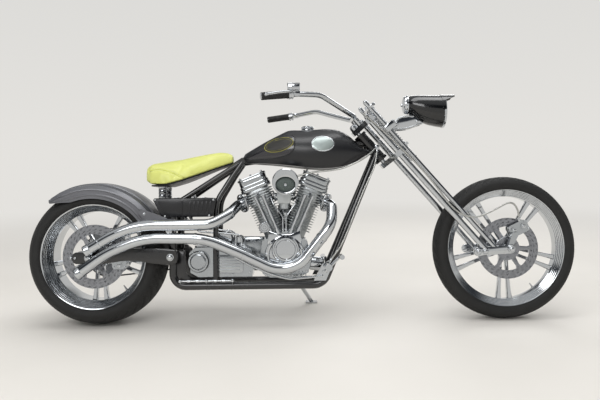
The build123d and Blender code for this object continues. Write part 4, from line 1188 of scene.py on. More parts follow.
def fork_spring_set(sizes):
    """The main and rebound springs on their rods, between seats, under the top plate and its nuts"""
    wire = sizes.fork_wire * 1000
    turns = sizes.fork_coil_turns
    piece = Piece()
    # columns: low, high, coil radius, wire radius, turns of the main and the rebound springs
    coils = (
        (-136, 110, 15.2, wire, turns),
        (-226, -150, 12, wire * 0.8, turns * 0.36),
    )
    for y in (-40, 40):
        spot = at(127, y, 0)
        piece.take(barrel(7.5, -236, 130, 0.6, 20), FORK, spot)
        for low, high, coil_r, wire_r, count in coils:
            for seat in (low, high - 6):
                piece.take(hoop(coil_r + 3.6, 7, seat, seat + 6), FORK, spot)
            piece.take_mesh(coil(count, coil_r, wire_r, high - low - 14), FORK, spot, at(0, 0, low + 7))
        piece.take(bolt(8.5, 10), FORK, spot, at(0, 0, -226), spun(180, "X"))
        piece.take(acorn(10, 14), FORK, spot, at(0, 0, 126))
    piece.take(slab(rounded(40, 256, 16), 110, 126, 2.5), FORK, at(127, 0, 0))
    for y in (-110, 110):
        piece.take(acorn(11, 16), FORK, at(113, y, 146))
        piece.take(acorn(13, 14), FORK, at(72, y, 93))
    piece.take(acorn(18, 18), FORK, at(0, 0, 96))
    piece.done("fork_spring_set", "fork", "chrome", ["fork_springs"])


def fork_nuts():
    """Nuts on the rockers' eyes and the axle, and screws of the clamps"""
    back, mid, front = ROCKER_EYES
    bolts = Piece()
    for side in (-1, 1):
        for (x, z), radius, reach in ((back, 11, 122), (mid, 11, 122), (front, 12, 134)):
            bolts.take(acorn(radius, 12), at(x, side * reach, z), facing_out(side))
    for y in (-40, 40):
        for level in (-150, 72):
            bolts.take(cap_screw(6, 8), FORK, at(94, y * 1.9, level), spun(90, "Y"))
    bolts.done("fork_nuts", "fork", "chrome")


def rockers_forged():
    """Forged links with raised eyes, and the axle through them"""
    back, mid, front = ROCKER_EYES
    rockers = Piece()
    for side in (-1, 1):
        outward = facing_out(side)
        rockers.take(side_slab(link(back, mid, 22, 20), side * 98, 24, 4))
        rockers.take(side_slab(link(mid, front, 20, 24), side * 98, 24, 4))
        for (x, z), radius in ((back, 16), (mid, 15), (front, 21)):
            rockers.take(hoop(radius, 9, 121, 124.5, 1.2, 36), at(x, 0, z) @ outward)
        rockers.take(hoop(17, 9, 122, 134, 1.5, 32), at(front[0], 0, front[1]) @ outward)
        rockers.take(hoop(15, 9, 77 if side < 0 else 80, 99, 1, 32), at(front[0], 0, front[1]) @ outward)
        rockers.take(side_slab(inset(link(mid, front, 20, 24), 0.62), side * 121, 2.5, 1.2))
    rockers.take(barrel(10, -136, 136, 1, 32), at(front[0], 0, front[1]) @ RIGHT)
    rockers.done("rockers_forged", "fork", "chrome", ["fork_rockers"])


def headlamp_holder():
    """A cross plate clamped to the front legs, two webs with tube edges, and the dish behind the lamp"""
    holder = Piece()
    web = eased(((478, 984), (484, 1014), (512, 1042), (550, 1050), (588, 1050), (618, 1030), (636, 1013),
                 (600, 999), (558, 986), (515, 982), (478, 984)), 4)[:-1]
    edges = (((480, 992), (486, 1016), (514, 1041), (552, 1048), (588, 1048)),
             ((486, 986), (520, 985), (560, 990), (604, 1005), (628, 1012)))
    for side in (-1, 1):
        holder.take(side_slab(web, side * 26.5, 6, 2.5))
        for edge in edges:
            holder.take(bar([(x, side * 30, z) for x, z in eased(edge)], 5))
        for x, z in ((500, 1006), (604, 1022)):
            holder.take(acorn(6.5, 8), at(x, side * 33, z) @ facing_out(side))
        holder.take(slab(rounded(63, 30, 8), -37, -3, 3), FORK, at(126.5, side * 110, 0))
        for level in (-30, -10):
            holder.take(cap_screw(4.5, 5), FORK, at(158, side * 110, level), spun(90, "Y"))
    sole = ((482, 981), (560, 985), (638, 1013), (637, 1018), (558, 990), (481, 986))
    holder.take(side_slab(sole, -26, -52, 1))
    holder.take(slab(rounded(8, 250, 3), -37, -3, 2), FORK, at(154, 0, 0))
    # columns: radius, x
    dish = [(0, 534), (20, 534), (26, 535.5), (38, 539), (44, 542), (46, 547), (46, 552), (49, 555),
            (49, 561), (0, 561)]
    nut = [(0, 526), (7, 526.5), (9, 530), (9, 535), (0, 535)]
    holder.take(turned(dish, 64), at(0, 0, LAMP_BACK_Z) @ FORWARD)
    holder.take(turned(nut, 28), at(0, 0, LAMP_BACK_Z) @ FORWARD)
    holder.done("headlamp_holder", "fork", "chrome", ["headlamp_bracket"])


def headlamp():
    """A bucket level along its top and rising underneath, with a visor, a rim, a reflector and a glass"""
    shell = Piece()
    # columns: x, centre z, radius, outside and then back inside
    rows = ((560, LAMP_BACK_Z, 40), (576, 1107, 52), (592, 1101.5, 59.5), (608, 1096, 66), (640, 1089.5, 72),
            (668, 1084, 77), (706, 1079.5, 81), (744, LAMP_Z, 84), (744, LAMP_Z, 79), (714, 1078, 78),
            (700, 1080, 72), (640, 1089, 62), (600, 1098, 50))
    shell.take(skin([front_ring(*row) for row in rows]))
    # The visor stands out over the lens at its top and is swept back to the rim at its sides
    visor = []
    steps = 48
    for radius, reach in ((83.5, 0), (86.5, 0), (86.5, 1), (83.5, 1)):
        ring = []
        for k in range(steps + 1):
            c, s = math.cos(math.pi * k / steps), math.sin(math.pi * k / steps)
            lip = 745 + 53 * min(1, max(0, (s - 0.6) / 0.24))
            ring.append((lip if reach else 728, radius * c, LAMP_Z + radius * s))
        visor.append(ring)
    shell.take(skin([list(row) for row in zip(*visor)]))
    shell.done("headlamp_bucket", "fork", "gloss_paint", ["headlamp_shell"])
    trim = Piece()
    facing = at(0, 0, LAMP_Z) @ FORWARD
    trim.take(hoop(85.4, 77, 737, 749, 2.5, 80), facing)
    reflector = [(0, 672), (22, 675), (46, 690), (64, 708), (76, 724), (77.6, 724), (66, 704), (48, 686),
                 (23, 671), (0, 668)]
    trim.take(turned(reflector, 64), facing)
    trim.take(turned([(0, 678), (9, 680), (11, 692), (8, 702), (0, 704)], 32), facing)
    trim.done("headlamp_trim", "fork", "chrome")
    glass = Piece()
    glass.take(turned([(0, 742), (30, 740.5), (56, 736), (77.5, 728), (77.5, 725), (56, 733), (30, 737.5),
                       (0, 739)], 64), facing)
    glass.done("headlamp_glass", "fork", "lamp_glass", ["headlamp_lens"])


class CHOPPER_OT_fork(ChopperOperator, bpy.types.Operator):
    """Wind the fork's springs and build its rockers, nuts, headlamp and bracket"""
    bl_idname = "chopper.fork"
    bl_label = "Fork and headlamp"

    def execute(self, context):
        sizes = context.scene.chopper_sizes
        fork_spring_set(sizes)
        fork_nuts()
        rockers_forged()
        headlamp_holder()
        headlamp()
        return {"FINISHED"}


# Frame, covers, exhaust and controls


# Where the frame's uprights stand, and the heights of the swingarm's pivot and of the lower rails
UPRIGHT_X = -642.0
PIVOT_Z = 350.0
RAIL_Z = 198.0
# The exhaust pipes: their radius, and the corners of each with the radius of its bends
PIPE_R = 27.0
FRONT_PIPE = ((80, -20, 634), (156, -92, 594), (150, -158, 500), (5, -168, 319), (-100, -168, 266),
              (-290, -180, 360), (-470, -205, 440), (-760, -216, 446), (-930, -216, 384), (-1082, -216, 276))
FRONT_BENDS = (40, 120, 130, 180, 400, 300, 400, 500)
REAR_PIPE = ((-248, -20, 634), (-318, -92, 598), (-360, -172, 552), (-440, -206, 508), (-620, -216, 507),
             (-780, -216, 508), (-900, -216, 468), (-1040, -216, 385))
REAR_BENDS = (50, 90, 110, 600, 450, 500)


def swingarm_forged(fittings):
    """Two forged arms with their axle plates, adjusters and nuts"""
    arms = Piece()
    arch = eased(((-614, 386), (-700, 396), (-800, 396), (-900, 392), (-1000, 388), (-1090, 382),
                  (-1114, 356), (-1106, 330), (-1060, 318), (-1000, 317), (-930, 326), (-860, 334),
                  (-790, 330), (-720, 318), (-650, 312), (-616, 320), (-608, 350), (-614, 386)), 4)[:-1]
    plate = shifted(rounded(148, 58, 26), -1046, 351)
    for face, side in ((-150, -1), (176, 1)):
        y = face + side * 28
        arms.take(side_slab(arch, face, 28, 7))
        arms.take(side_slab(inset(arch, 0.9), y - side * 2, 3.5, 2.5))
        arms.take(side_slab(plate, y, 5, 2))
        for x, z in ((-1104, 351), (-990, 351)):
            fittings.take(cap_screw(6, 6), at(x, y + side * 5, z) @ facing_out(side))
        # Axle adjuster: a bolt with its lock nut out of the arm's end
        fittings.take(bar([(-1112, face + side * 14, 351), (-1128, face + side * 14, 351)], 5))
        fittings.take(bolt(9, 9), aimed((-1126, face + side * 14, 351), (-1, 0, 0)))
        outward = facing_out(side)
        fittings.take(acorn(14, 16), at(UPRIGHT_X, y + side * 4, PIVOT_Z) @ outward)
        fittings.take(acorn(17, 18), at(REAR_AXLE[0], y + side * 13, REAR_AXLE[2]) @ outward)
    arms.done("swingarm_forged", "chassis", "frame_paint", ["swingarm"])


def side_cover_panels(fittings):
    """The ribbed side covers and their screws"""
    covers = Piece()
    panel = ((-684, 545), (-446, 545), (-436, 552), (-421, 632), (-427, 637), (-728, 637), (-733, 630),
             (-694, 551))
    pad = ((-676, 556), (-590, 556), (-582, 626), (-712, 626))
    rib = ((0, 560), (9, 560), (17, 622), (8, 622))
    for side in (-1, 1):
        outward = facing_out(side)
        covers.take(side_slab(panel, side * 132, 9, 3))
        covers.take(side_slab(pad, side * 140, 4, 2.5))
        for x in range(-560, -440, 20):
            covers.take(side_slab(shifted(rib, x, 0), side * 140, 4, 1.5))
        for x, z in ((-674, 549.5), (-456, 551), (-434, 629), (-722, 631)):
            fittings.take(cap_screw(5, 4), at(x, side * 141, z) @ outward)
    covers.done("side_cover_panels", "chassis", "satin_paint", ["side_covers"])


def oil_tank_top(fittings):
    """The oil tank's filler cap and the two straps over it"""
    filler = [(0, 0), (25, 0), (25, 7), (22, 9), (22, 18), (19, 21), (0, 21)]
    fittings.take(turned(filler, 40), at(-560, -40, 640))
    for x in (-630, -490):
        fittings.take(slab(oblong(x, 0, 18, 172), 640, 643, 1))


def exhaust_trim(fittings):
    """Port collars, band clamps, rolled tips and the bracket plates of the two pipes"""
    # columns: corners, bends, how far the clamps are down the pipe
    pipes = (
        (FRONT_PIPE, FRONT_BENDS, (300, 760, 1010)),
        (REAR_PIPE, REAR_BENDS, (190, 640, 860)),
    )
    rolled = [(24.6, 0), (PIPE_R + 0.6, 0), (PIPE_R + 2.6, 3), (PIPE_R + 2.6, 22), (PIPE_R + 3.4, 25),
              (PIPE_R + 2.4, 28.5), (PIPE_R - 0.5, 29), (25, 26.5)]
    for points, bends, bands in pipes:
        line = bent(points, bends)
        total = sum((b - a).length for a, b in zip(line, line[1:]))
        port = on_line(line, 66)
        fittings.take(slab(rounded(96, 62, 28), 0, 9, 1.5), port, spun(90, "Z"))
        for x in (-38, 38):
            fittings.take(acorn(6.5, 11), port, spun(90, "Z"), at(x, 0, 9))
        for far in bands:
            fittings.take(hoop(PIPE_R + 2, PIPE_R - 0.5, -7, 7, 0.8, 48), on_line(line, far))
        fittings.take(turned(rolled, 56, ring=True), on_line(line, total - 26))
    # Bracket plates between the two pipes
    for x, low, high in ((-640, 470, 484), (-840, 440, 470)):
        middle = (low + high) / 2
        fittings.take(side_slab(oblong(x, middle, 26, high - low), -205, 8, 1.5))
        fittings.take(bolt(7, 7), at(x, -213, middle) @ RIGHT)


def shift_linkage(fittings):
    """A rod over the right rail with ball joints on posts"""
    joints = [(x, -134, 226) for x in (-604, -474, -344)]
    ball = [(0, -9), (6, -7), (9, 0), (6, 7), (0, 9)]
    fittings.take(bar(joints, 4.5))
    for joint in joints:
        fittings.take(turned(ball, 20), at(*joint), spun(90, "X"))
        fittings.take(bar([(joint[0], -120, 210), joint], 5))
    for x in (-560, -518, -430, -388):
        fittings.take(hoop(7.5, 4.4, -9, 9, 1.2, 20), at(x, -134, 226), spun(90, "Y"))


def frame_gussets():
    """Plates that close the corner between each upright and its lower rail"""
    gussets = Piece()
    corner = [(-642, 368), (-594, 384), (-581, 372), (-578, 320), (-581, 275), (-560, 236), (-520, 204),
              (-520, RAIL_Z), (-577, RAIL_Z), (-610, RAIL_Z + 8), (-634, RAIL_Z + 32), (-642, RAIL_Z + 65)]
    for side in (-1, 1):
        gussets.take(side_slab(corner, side * 107, 6, 1.5))
    gussets.done("frame_gussets", "chassis", "frame_paint")


def bracket_nuts(fittings):
    """Nuts on the fender's brackets"""
    for x, z in ((-772, 563), (-700, 525), (-644, 505)):
        for side in (-1, 1):
            fittings.take(acorn(6, 8), at(x, side * 160, z) @ facing_out(side))


def caliper_screws(fittings):
    """The calipers' piston caps and bridge bolts"""
    piston = [(0, 3), (9, 3), (9, 6.5), (7, 7.5), (4, 7.5), (4, 5.5), (0, 5.5)]
    front_caliper = Piece()
    # columns: piece, middle, tilt, one cap's place, one bolt's place
    calipers = (
        (fittings, (-905, -132, 338), 0, (0, 30), (27, 38)),
        (front_caliper, (1098, -104, 468), -25, (26, 0), (42, 22)),
    )
    for group, middle, tilt, (cap_x, cap_z), (bolt_x, bolt_z) in calipers:
        place = at(*middle) @ spun(tilt, "Y") @ RIGHT
        for end in (-1, 1):
            group.take(turned(piston, 28), place, at(end * cap_x, end * cap_z, 0))
        for a, b in oblong(0, 0, 2 * bolt_x, 2 * bolt_z):
            group.take(cap_screw(5, 5), place, at(a, b, 0))
    front_caliper.done("front_caliper_screws", "fork", "chrome")


class CHOPPER_OT_chassis(ChopperOperator, bpy.types.Operator):
    """Shape the swingarm, covers and gussets, and add the exhaust's trim, caps, nuts and linkage"""
    bl_idname = "chopper.chassis"
    bl_label = "Frame and exhaust"

    def execute(self, context):
        fittings = Piece()
        swingarm_forged(fittings)
        side_cover_panels(fittings)
        oil_tank_top(fittings)
        exhaust_trim(fittings)
        shift_linkage(fittings)
        frame_gussets()
        bracket_nuts(fittings)
        caliper_screws(fittings)
        fittings.done("frame_fittings", "chassis", "chrome")
        return {"FINISHED"}


# Engine


# The middle of the V, and the places of the round covers on the right (cam, dome) and left (crank, clutch)
VEE = CRANK[0]
CAM = at(VEE, 0, 349) @ RIGHT
DOME = at(-79, 0, 376) @ RIGHT
CRANK_END = at(VEE, 0, 337) @ LEFT
CLUTCH = at(-470, 0, 330) @ LEFT


def trimmed_at_vee(mesh, side):
    """Keep a cylinder's fins on their own side of the V: what reaches over is pushed back to the middle."""
    limit = VEE + side * 1.5
    for vert in mesh.verts:
        if (vert.co.x - limit) * side < 0:
            vert.co.x = limit


def cylinder_fins(sizes):
    """Both finned cylinders and heads, each on its side of the V"""
    pitch = sizes.fin_pitch * 1000
    fins = Piece()
    for turn in (22.5, -22.5):
        side = 1 if turn > 0 else -1
        half = Piece()
        place = up_cylinder(turn)
        half.take(barrel(56, 118, 300, 1), place)
        half.take(slab(rounded(124, 120, 40), 296, 372, 1.5), place)
        barrel_fin = slab(rounded(146, 136, 44), 0, 3.2, 0.8)
        head_fin = slab(rounded(156, 142, 36), 0, 4, 1)
        lowest = 292 - pitch * (sizes.fin_count - 1)
        # columns: shape, how many, from one to the next, height of the lowest
        for fin, count, step, low in ((barrel_fin, sizes.fin_count, pitch, lowest), (head_fin, 5, 13, 304)):
            stack = repeated(stack_tree, fin, "cast_alloy", Count=count, Step=(0, 0, step))
            half.take_mesh(stack, place, at(0, 0, low))
        trimmed_at_vee(half.mesh, side)
        half.mesh.verts.index_update()
        points = [v.co.copy() for v in half.mesh.verts]
        faces = [tuple(v.index for v in f.verts) for f in half.mesh.faces]
        half.mesh.free()
        fins.take((points, faces))
    fins.done("cylinder_fins", "chassis", "cast_alloy", ["cylinders"])


def rocker_box_tiers():
    """The rocker boxes in four tiers"""
    boxes = Piece()
    # columns: length, width, corner, low, high
    tiers = (
        (160, 132, 30, 372, 390),
        (154, 126, 28, 390, 408),
        (146, 118, 28, 408, 436),
        (152, 124, 30, 436, 446),
    )
    for turn in (22.5, -22.5):
        for length, width, corner, low, high in tiers:
            boxes.take(slab(rounded(length, width, corner), low, high, 3), up_cylinder(turn))
    boxes.done("rocker_box_tiers", "chassis", "polished_alloy", ["rocker_boxes"])


def engine_bolts(head_r):
    """Rocker box nuts, base bolts, spark plugs and the pushrod tubes' collars"""
    bolts = Piece()
    insulator = [(0, 6), (7, 6), (6.5, 20), (5.5, 22), (6.5, 24), (5.5, 26), (6.5, 28), (5, 36), (0, 36)]
    for turn in (22.5, -22.5):
        place = up_cylinder(turn)
        for x in (-58, 0, 58):
            for y in (-50, 50):
                bolts.take(acorn(head_r, 9), place, at(x, y, 446))
        for x in (-56, 56):
            bolts.take(bolt(7, 9), place, at(x, -58, 120))
        # Spark plug on the right of each head
        plug = place @ at(0, -66, 338) @ spun(68, "X")
        bolts.take(barrel(9, -10, 6, 1, 24), plug)
        bolts.take(turned(insulator, 20), plug)
    # Lifter blocks and the collars of the pushrod tubes
    rods = ((-228, 640, -150, 464), (-190, 648, -112, 455), (20, 648, -58, 455), (58, 640, -20, 464))
    for top_x, top_z, low_x, low_z in rods:
        low = Vector((low_x, -90, low_z))
        top = Vector((top_x, -90, top_z))
        along = (top - low).normalized()
        for share, radius, length in ((0.0, 13, 26), (0.42, 11.5, 12), (0.5, 12.5, 7), (0.93, 12, 16)):
            start = low + (top - low) * share
            bolts.take(bar([start, start + along * length * 0.5, start + along * length], radius, 24))
    bolts.done("engine_bolts", "chassis", "chrome")


def carburettor_body(extras):
    """The body, float bowl, manifold with its flanges, and the plate behind the air cleaner"""
    carb = Piece()
    throat = [(0, -10), (24, -10), (26, -6), (26, 30), (31, 34), (31, 46), (27, 50), (27, 90), (34, 94),
              (34, 104), (0, 104)]
    bowl = [(0, 577), (22, 577), (26, 581), (27, 606), (30, 608), (30, 613), (22, 616), (20, 660), (25, 663),
            (25, 668), (18, 674), (0, 676)]
    plate = ((-116, 606), (-52, 606), (-45, 695), (-50, 700), (-118, 700), (-123, 695))
    carb.take(turned(throat, 48), at(VEE, 0, 640) @ RIGHT)
    carb.take(turned(bowl, 40), at(VEE, -70, 0))
    carb.take(side_slab(plate, -94, 14, 3))
    manifold = ((-56, 646), (-30, 641), (0, 640), (30, 641), (56, 646))
    extras.take(bar([(VEE + x, -6, z) for x, z in manifold], 19, 28))
    for x, turn in ((-50, -12), (50, 12)):
        extras.take(hoop(26, 12, -5, 5, 1, 28), at(VEE + x, -6, 645), spun(90 + turn, "Y"))
    for a, b in ((-22, 0), (22, 0), (0, -22)):
        extras.take(cap_screw(4, 5), at(VEE + a, -70 + b, 613))
    knob = [(0, 0), (17, 0), (17, 3), (5, 5), (5, 12), (0, 12)]
    extras.take(turned(knob, 28), at(VEE, 14, 640) @ LEFT)
    carb.done("carburettor_body", "chassis", "cast_alloy", ["carburettor"])


def ignition_coil(extras):
    """The coil in the V on the left, its towers up"""
    dark = Piece()
    dark.take(slab(rounded(72, 44, 8), 522, 600, 4), at(VEE, 100, 0))
    tower = [(0, 0), (11, 0), (9, 14), (9, 24), (6, 26), (0, 26)]
    for x in (-20, 20):
        dark.take(turned(tower, 20), at(VEE + x, 100, 598))
    extras.take(side_slab(((-104, 452), (-64, 452), (-58, 600), (-110, 600)), 74, 5, 1))
    dark.done("ignition_coil", "chassis", "satin_paint", material="black_alloy")


def gearbox_fittings(extras):
    """Starter and solenoid across the gearbox, its covers, belly ribs and the oil filter"""
    # columns: x, z, radius, right end, left end, screws
    drums = (
        (-385, 434, 39, -74, 64, 6),
        (-316, 424, 23, -66, 20, 4),
        (-472, 404, 17, -60, 60, 4),
    )
    for x, z, radius, low, high, screws in drums:
        rows = [(0, low), (radius - 7, low), (radius - 2, low + 5), (radius - 2, low + 22),
                (radius, low + 24), (radius, low + 29), (radius - 3, low + 31), (radius - 3, high - 16),
                (radius, high - 14), (radius, high - 3), (radius - 4, high), (0, high)]
        extras.take(turned(rows, 48), at(x, 0, z) @ LEFT)
        extras.take_mesh(round_axle(cap_screw(4, 5), radius * 0.62, screws, 20), at(x, low, z) @ RIGHT)
        extras.take(side_slab(shifted(rounded(radius * 1.2, 30, 6), x, 394), -30, 10, 2))
    extras.take(slab(rounded(120, 130, 14), 388, 397, 2), at(-482, 0, 0))
    side = shifted(rounded(150, 92, 20), -368, 304)
    ribbed = Piece()
    ribbed.take(side_slab(side, -84, 9, 3))
    for z in range(276, 340, 14):
        ribbed.take(side_slab(shifted(rounded(118, 6, 3), -368, z), -92, 4, 1.2))
    # Cooling ribs along the crankcase's belly, and the ribbed oil filter at its front
    for x in range(-186, 20, 17):
        ribbed.take(side_slab(oblong(x + 3, 249, 6, 26), -68, 8, 1.2))
    ribbed.done("gearbox_side_cover", "chassis", "polished_alloy")
    canister = [(0, 0), (30, 0), (35, 3), (36, 10), (36, 62), (33, 70), (24, 75), (0, 76)]
    ahead = aimed((44, -18, 300), (1, 0, -0.12))
    extras.take(turned(canister, 48), ahead)
    extras.take_mesh(round_axle(slab(oblong(0, 0, 6, 5), 52, 66, 1), 36, 14), ahead)


def oil_lines(extras):
    """Hard lines up the V to each head and from the gearbox to the oil tank"""
    # columns: radius, corners
    lines = (
        (3.6, (-92, -92, 462), (-92, -92, 540), (-140, -84, 606), (-152, -70, 640)),
        (3.6, (-76, -92, 462), (-76, -92, 540), (-28, -84, 606), (-16, -70, 640)),
        (5, (-300, -92, 392), (-300, -92, 452), (-520, -92, 470), (-560, -70, 545)),
        (5, (-330, -92, 392), (-330, -92, 468), (-530, -92, 490), (-590, -70, 545)),
    )
    for radius, *points in lines:
        run = bent(points, (30, 40))
        extras.take(bar(run, radius, 12))
        for place in (on_line(run, 2), on_line(run[::-1], 2)):
            extras.take(bolt(radius + 3, 12), place)


def cam_cover_turned():
    """The turned covers on the right and the plate above them"""
    cover = Piece()
    cam_rows = [(0, 70), (100, 70), (100, 100), (96, 106), (88, 108), (84, 106), (80, 106), (76, 110),
                (40, 112), (0, 112)]
    dome_rows = [(0, 100), (68, 100), (70, 104), (70, 116), (66, 121), (60, 122), (57, 118), (50, 118),
                 (46, 122), (24, 123.5), (0, 124)]
    small_rows = [(0, 96), (26, 96), (28, 99), (28, 108), (25, 112), (20, 112), (17, 108), (9, 108), (7, 111),
                  (0, 111)]
    cover.take(turned(cam_rows, 96), CAM)
    cover.take(turned(dome_rows, 80), DOME)
    cover.take(turned(small_rows, 48), at(-184, 0, 488) @ RIGHT)
    upper = ((-170, 400), (2, 400), (-6, 470), (-56, 452), (-112, 452), (-162, 470))
    cover.take(side_slab(upper, -70, 34, 3))
    cover.done("cam_cover_turned", "chassis", "chrome", ["cam_cover"])


def primary_cover_polished():
    """The stepped cover over the belt, with its round lids"""
    primary = Piece()
    primary.take(side_slab(link((-470, 330), (VEE, 337), 100, 88, 32), 176, 52, 7))
    primary.take(side_slab(link((-470, 330), (VEE, 337), 97, 85, 32), 196, 4, 1.5))
    primary.take(side_slab(link((-440, 330.5), (-110, 336.5), 70, 58, 24), 227, 5, 3))
    clutch_rows = [(0, 227), (72, 227), (72, 234), (69, 240), (62, 242), (54, 240), (50, 237), (47, 240),
                   (24, 242), (0, 242.5)]
    crank_rows = [(0, 227), (34, 227), (34, 233), (31, 236), (24, 236), (20, 233.5), (0, 233)]
    plug_rows = [(0, 227), (17, 227), (17, 235), (14, 237), (7, 237), (7, 233), (0, 233)]
    primary.take(turned(clutch_rows, 72), CLUTCH)
    primary.take(turned(crank_rows, 48), CRANK_END)
    primary.take(turned(plug_rows, 6), at(-270, 0, 333) @ LEFT)
    primary.done("primary_cover_polished", "chassis", "polished_alloy", ["primary_cover"])


def cover_screws(head_r):
    """Socket-head screws round every cover"""
    heads = Piece()
    # columns: screw's radius and height, circle's radius, how many, first angle, place, height over the crank
    circles = (
        (head_r, 7, 92, 9, 20, CAM, 106),
        (4.5, 5, 53.5, 5, 18, DOME, 117),
        (head_r, 7, 76, 6, 60, CRANK_END, 228),
        (head_r, 7, 88, 7, 10, CLUTCH, 228),
        (4.5, 5, 58, 6, 0, CLUTCH, 240),
        (4.5, 6, 45, 6, 30, at(-517, 0, 319) @ RIGHT, 114),
    )
    for radius, tall, ring_r, count, start, place, level in circles:
        heads.take_mesh(round_axle(cap_screw(radius, tall), ring_r, count, start), place, at(0, 0, level))
    crankcase = ((-196, 268), (-140, 244), (-84, 240), (-28, 242), (24, 262))
    gearbox = ((-548, 366), (-420, 376), (-310, 376), (-262, 330), (-262, 262), (-350, 252), (-440, 252))
    for spots, level in ((crankcase, 70), (gearbox, 84)):
        for x, z in spots:
            heads.take(cap_screw(head_r, 8), at(x, -level, z) @ RIGHT)
    heads.done("cover_screws", "chassis", "chrome")


def air_cleaner():
    """The air cleaner's housing with its knob, and the gauze in its mouth"""
    air = Piece()
    # columns: y, lift of the centre, half length, half height, over the housing and down into its mouth
    housing = ((-110, 0, 48, 48), (-114, 0, 54, 54), (-122, 0, 63.5, 63.5), (-126, 0, 65, 65),
               (-160, 0, 66, 66), (-165, 0, 64.8, 64.8), (-168, 0, 61, 61), (-168, -14, 52, 41),
               (-167, -14, 49.5, 38.6), (-164.5, -14, 48.3, 37.3), (-154, -14, 46.5, 35.5),
               (-152.5, -14, 42, 31))
    air.take(skin([side_ring(y, AIR[0], AIR[2] + lift, a, b) for y, lift, a, b in housing]))
    knob = [(0, 0), (8.5, 0), (8.5, 5), (6, 8.5), (0, 9)]
    air.take(turned(knob, 24), at(AIR[0], -162, AIR[2] - 14) @ RIGHT)
    air.done("air_cleaner_housing", "chassis", "chrome", ["air_cleaner"])
    gauze = Piece()
    domed = ((-152.6, 46, 35), (-156, 45.5, 34.5), (-160, 40, 29), (-162.5, 26, 18), (-163, 9, 7))
    gauze.take(skin([side_ring(y, AIR[0], AIR[2] - 14, a, b) for y, a, b in domed]))
    gauze.done("air_cleaner_gauze", "chassis", "cast_alloy", material="filter_mesh")


class CHOPPER_OT_engine(ChopperOperator, bpy.types.Operator):
    """Build the finned cylinders, rocker boxes, carburettor, covers, oil lines and their bolts"""
    bl_idname = "chopper.engine"
    bl_label = "Engine"

    def execute(self, context):
        sizes = context.scene.chopper_sizes
        head_r = sizes.bolt_head * 1000
        extras = Piece()
        cylinder_fins(sizes)
        rocker_box_tiers()
        engine_bolts(head_r)
        carburettor_body(extras)
        ignition_coil(extras)
        gearbox_fittings(extras)
        oil_lines(extras)
        extras.done("engine_fittings", "chassis", "chrome")
        cam_cover_turned()
        primary_cover_polished()
        cover_screws(head_r)
        air_cleaner()
        return {"FINISHED"}


# Bar ends


# The left grip's run, from the handlebar's last bend to its end
BAR_BEND = Vector((-20, 352, 1112))
BAR_END = Vector((-176, 388, 1096))


class CHOPPER_OT_controls(ChopperOperator, bpy.types.Operator):
    """Mould the ribbed grips and build the levers, their clamps and the brake reservoir"""
    bl_idname = "chopper.controls"
    bl_label = "Grips and levers"

    def execute(self, context):
        grips, levers = Piece(), Piece()
        toward = (BAR_END - BAR_BEND).normalized()
        start = BAR_BEND + toward * 38
        end = BAR_END + toward * 4
        length = (end - start).length
        rows = [(12.9, 0), (19.5, 0), (19.5, 5), (17.4, 7)]
        ribs = 16
        for k in range(ribs):
            z = 9 + k * (length - 16) / ribs
            rows += [(17.2, z), (18, z + 1), (18, z + 4), (17.2, z + 5)]
        rows += [(18, length - 5), (17, length), (12.9, length)]
        end_cap = [(0, 0), (16.5, 0), (16.5, 2), (13, 4), (0, 4.5)]
        ball = [(0, -8), (5, -6.5), (7.6, -2), (7.6, 2), (5, 6.5), (0, 8)]
        for side in (1, -1):
            across = Matrix.Scale(side, 4, (0, 1, 0))
            place = across @ aimed(start, toward)
            grips.take(turned(rows, 36, ring=True), place)
            levers.take(turned(end_cap, 32), place, at(0, 0, length - 1))
            levers.take(hoop(20, 12.9, -24, 0, 2, 36), place)
            for z in (-19, -5):
                levers.take(cap_screw(3.5, 4), place, at(0, 0, z), spun(90, "X"), at(0, 0, 19))
            blade = [start + Vector((10, 4, 4)), start + Vector((20, 24, 6)), start + Vector((6, 58, 4)),
                     (start + end) / 2 + Vector((14, 57, 3)), end + Vector((24, 52, 0))]
            levers.take(bar(bent(blade, (10, 24, 60)), 6, 16), across)
            levers.take(turned(ball, 24), across, at(*(end + Vector((26, 52, 0)))))
            levers.take(cap_screw(8, 7), across, at(*(start + Vector((16, 22, 9)))))
            # Switch block inboard of the clamp
            levers.take(slab(rounded(30, 26, 6), -13, 13, 2), place, at(0, 0, -40), spun(90, "Y"))
        # The brake reservoir on the right, with its lid, foot, screws and sight glass
        x, y, z = start.x + 26, -start.y, start.z
        levers.take(slab(rounded(58, 40, 9), z + 19, z + 45, 2.5), at(x, y, 0))
        levers.take(slab(rounded(60, 42, 9), z + 45, z + 50, 1.5), at(x, y, 0))
        levers.take(slab(rounded(30, 26, 6), z + 8, z + 20, 2), at(x - 6, y, 0))
        for a in (-22, 22):
            levers.take(cap_screw(3, 2.5), at(x + a, y, z + 49.5))
        sight = [(0, 0), (7, 0), (7, 2), (5, 2.6), (0, 2.6)]
        levers.take(turned(sight, 24), at(x - 8, y - 20, z + 32) @ RIGHT)
        grips.done("grips_ribbed", "fork", "grip_rubber", ["grips"])
        levers.done("lever_set", "fork", "chrome", ["levers"])
        return {"FINISHED"}


# Tank and fender


